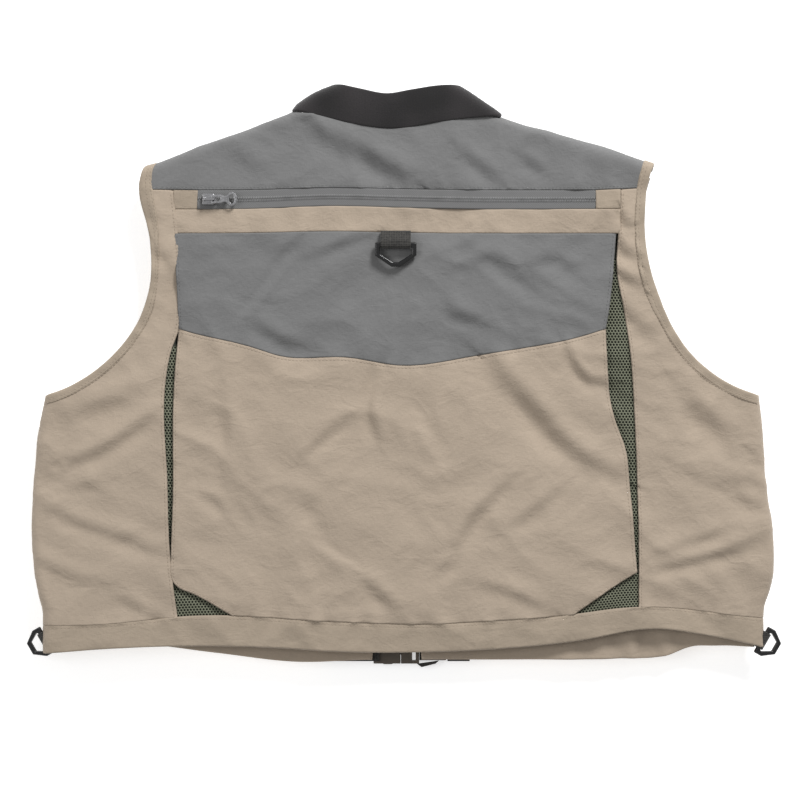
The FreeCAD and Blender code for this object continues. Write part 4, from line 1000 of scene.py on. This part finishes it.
# ---- stitches
def sew(body, colour, rows):
    """Short raised threads along the stitched rows of one body."""
    verts, faces = [], []
    for line, lay, up in rows:
        on = lay(line, np.full(len(line), up))
        above = lay(line, np.full(len(line), up + 0.5))
        for k in range(0, len(line) - 4, 4):
            a, b = on[k], on[k + 3]
            way = b - a
            size = norm(way)
            rise = above[k + 1] - on[k + 1]
            rise = rise / max(norm(rise), 1e-6)
            side = np.cross(way / max(size, 1e-6), rise)
            first = len(verts)
            for t, r in ((0.0, 0.1), (0.3, 0.28), (0.7, 0.28), (1.0, 0.1)):
                centre = a + way * t + rise * (0.12 * math.sin(math.pi * t))
                for s, u in ((1, 0), (0, 1), (-1, 0), (0, -1)):
                    verts.append(centre + side * s * r + rise * u * r * 0.8)
            for j in range(3):
                for m in range(4):
                    p, q = first + 4 * j + m, first + 4 * j + (m + 1) % 4
                    faces.append((p, q, q + 4, p + 4))
            faces += [(first + 3, first + 2, first + 1, first), tuple(range(first + 12, first + 16))]
    thread = GREY_THREAD if colour == "grey" else TAN_THREAD
    to_object(f"stitches_{body}_{colour}", verts, faces, thread, body)


for key in sorted(threads):
    sew(*key, threads[key])


# ---- hardware
WELD = 0.00001  # points this near are one (metres)


def dress(names, material, bevel, segments=3):
    """A CAD node keeps its shape, and gets softened edges and its real material."""
    for name in names:
        obj = nodes[name]
        obj.data.materials.clear()
        obj.data.materials.append(material)
        obj.modifiers.new("weld", "WELD").merge_threshold = WELD
        soft = obj.modifiers.new("bevel", "BEVEL")
        soft.width, soft.segments = bevel * MM, segments
        soft.limit_method, soft.angle_limit = "ANGLE", math.radians(28)
        obj.data.polygons.foreach_set("use_smooth", [True] * len(obj.data.polygons))
        obj.modifiers.new("normals", "WEIGHTED_NORMAL").keep_sharp = False


def make_pull(node, slide, tilt):
    """A cast pull: a window round the slider's bridge, a narrow waist, and a round eye at the end."""
    half_window, waist, eye_x, eye_long, eye_wide = 3.6, 2.4, 16.8, 4.6, 5.9
    angles = np.radians(np.linspace(32, 180, 16))
    arc = [(eye_x - eye_long * math.cos(a), eye_wide * math.sin(a)) for a in angles]
    upper_side = [(-0.6, half_window - 0.6), (0.2, half_window), (7.4, half_window), (9.4, waist + 0.3),
                  (10.8, waist)] + arc
    outer = upper_side + [(x, -y) for x, y in upper_side[::-1][1:]]
    window = [(0.6, 1.8), (0.6, -1.8), (6.6, -1.8), (7.2, -1.2), (7.2, 1.2), (6.6, 1.8)]
    data = bpy.data.curves.new(f"{node}_cast", "CURVE")
    data.dimensions, data.fill_mode, data.resolution_u = "2D", "BOTH", 1
    data.extrude, data.bevel_depth, data.bevel_resolution, data.offset = 0.0003, 0.0003, 3, -0.0003
    eye = [(eye_x + 2.2 * math.cos(a), 3.9 * math.sin(a)) for a in np.arange(24) * 2 * math.pi / 24]
    for points in (outer, window, eye):
        spline = data.splines.new("POLY")
        spline.points.add(len(points) - 1)
        for place, (x, y) in zip(spline.points, points):
            place.co = (x * MM, y * MM, 0, 1)
        spline.use_cyclic_u = True
    shape = bpy.data.objects.new(f"{node}_shape", data)
    scene.collection.objects.link(shape)
    bpy.context.view_layer.update()
    mesh = bpy.data.meshes.new_from_object(shape.evaluated_get(bpy.context.evaluated_depsgraph_get()))
    bpy.data.objects.remove(shape)
    forward = np.array(slide["axis"], float)
    across = -np.array(tilt["axis"], float)
    turn = np.c_[forward, across, np.cross(forward, across)]
    co = np.array([v.co for v in mesh.vertices]) @ turn.T + np.array(tilt["pos_m"], float)
    faces = [tuple(p.vertices) for p in mesh.polygons]
    obj = to_object(f"{node}_cast", co / MM, faces, METAL, tilt["child"])
    obj.modifiers.new("weld", "WELD").merge_threshold = WELD
    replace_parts(obj, node)


joints = {j["name"]: j for j in frame["joints"]}
for node, joint in (("rear_zip_pull", "rear"), ("front_zip_pull", "front"),
                    ("chest_zip_left_pull", "chest_left"), ("chest_zip_right_pull", "chest_right")):
    make_pull(node, joints[f"{joint}_zip_slide"], joints[f"{joint}_pull_tilt"])
dress([n for n in nodes if n.endswith("_slider")], METAL, 0.7, 4)
dress(["rear_ring", "side_ring_left", "side_ring_right"], BLACK, 0.9, 4)
dress([n for n in nodes if "ring_loop" in n or "strap" in n], WEBBING, 0.3)
dress([n for n in nodes if n.startswith(("buckle_plug", "buckle_socket", "buckle_prong"))], OLIVE, 0.5)
dress([n for n in nodes if n.startswith(("hook_patch", "loop_patch"))], HOOK, 0.2)

# ---- the stage
floor_paint = Paint("floor_paint", 0.9)
floor_paint.sockets["Base Color"].default_value = (0.95, 0.95, 0.95, 1)
floor_paint.sockets["Emission Color"].default_value = (1, 1, 1, 1)
floor_paint.sockets["Emission Strength"].default_value = 0.5
bpy.ops.mesh.primitive_plane_add(size=8, location=(0, 0, -0.0004))
floor = bpy.context.object
floor.name = "floor"
floor.data.materials.append(floor_paint.material)


def area_light(name, place, size, power):
    light = bpy.data.lights.new(name, "AREA")
    light.shape, light.size, light.energy = "DISK", size, power
    obj = bpy.data.objects.new(name, light)
    obj.location = place
    way = np.array(place) / norm(place)
    obj.rotation_euler = (math.acos(way[2]), 0, math.atan2(way[1], way[0]) + math.pi / 2)
    scene.collection.objects.link(obj)


area_light("key_light", (1.0, 2.2, 1.7), 0.9, 84)
area_light("fill_light", (-1.9, 0.2, 2.2), 1.6, 20)
world = bpy.data.worlds.new("studio")
world.use_nodes = True
sky = world.node_tree.nodes["Background"].inputs
sky["Color"].default_value = (1, 1, 1, 1)
sky["Strength"].default_value = 0.36
scene.world = world
scene.view_settings.view_transform = "Standard"

FRAME_WIDTH, FRAME_X, FRAME_Y, DISTANCE = 676, -3.4, -21.1, 1900
camera_data = bpy.data.cameras.new("camera")
camera_data.lens = 36 * DISTANCE / FRAME_WIDTH
camera_data.clip_end = 50
camera = bpy.data.objects.new("camera", camera_data)
camera.location = (FRAME_X * MM, FRAME_Y * MM, (DISTANCE + 29) * MM)
scene.collection.objects.link(camera)
scene.camera = camera
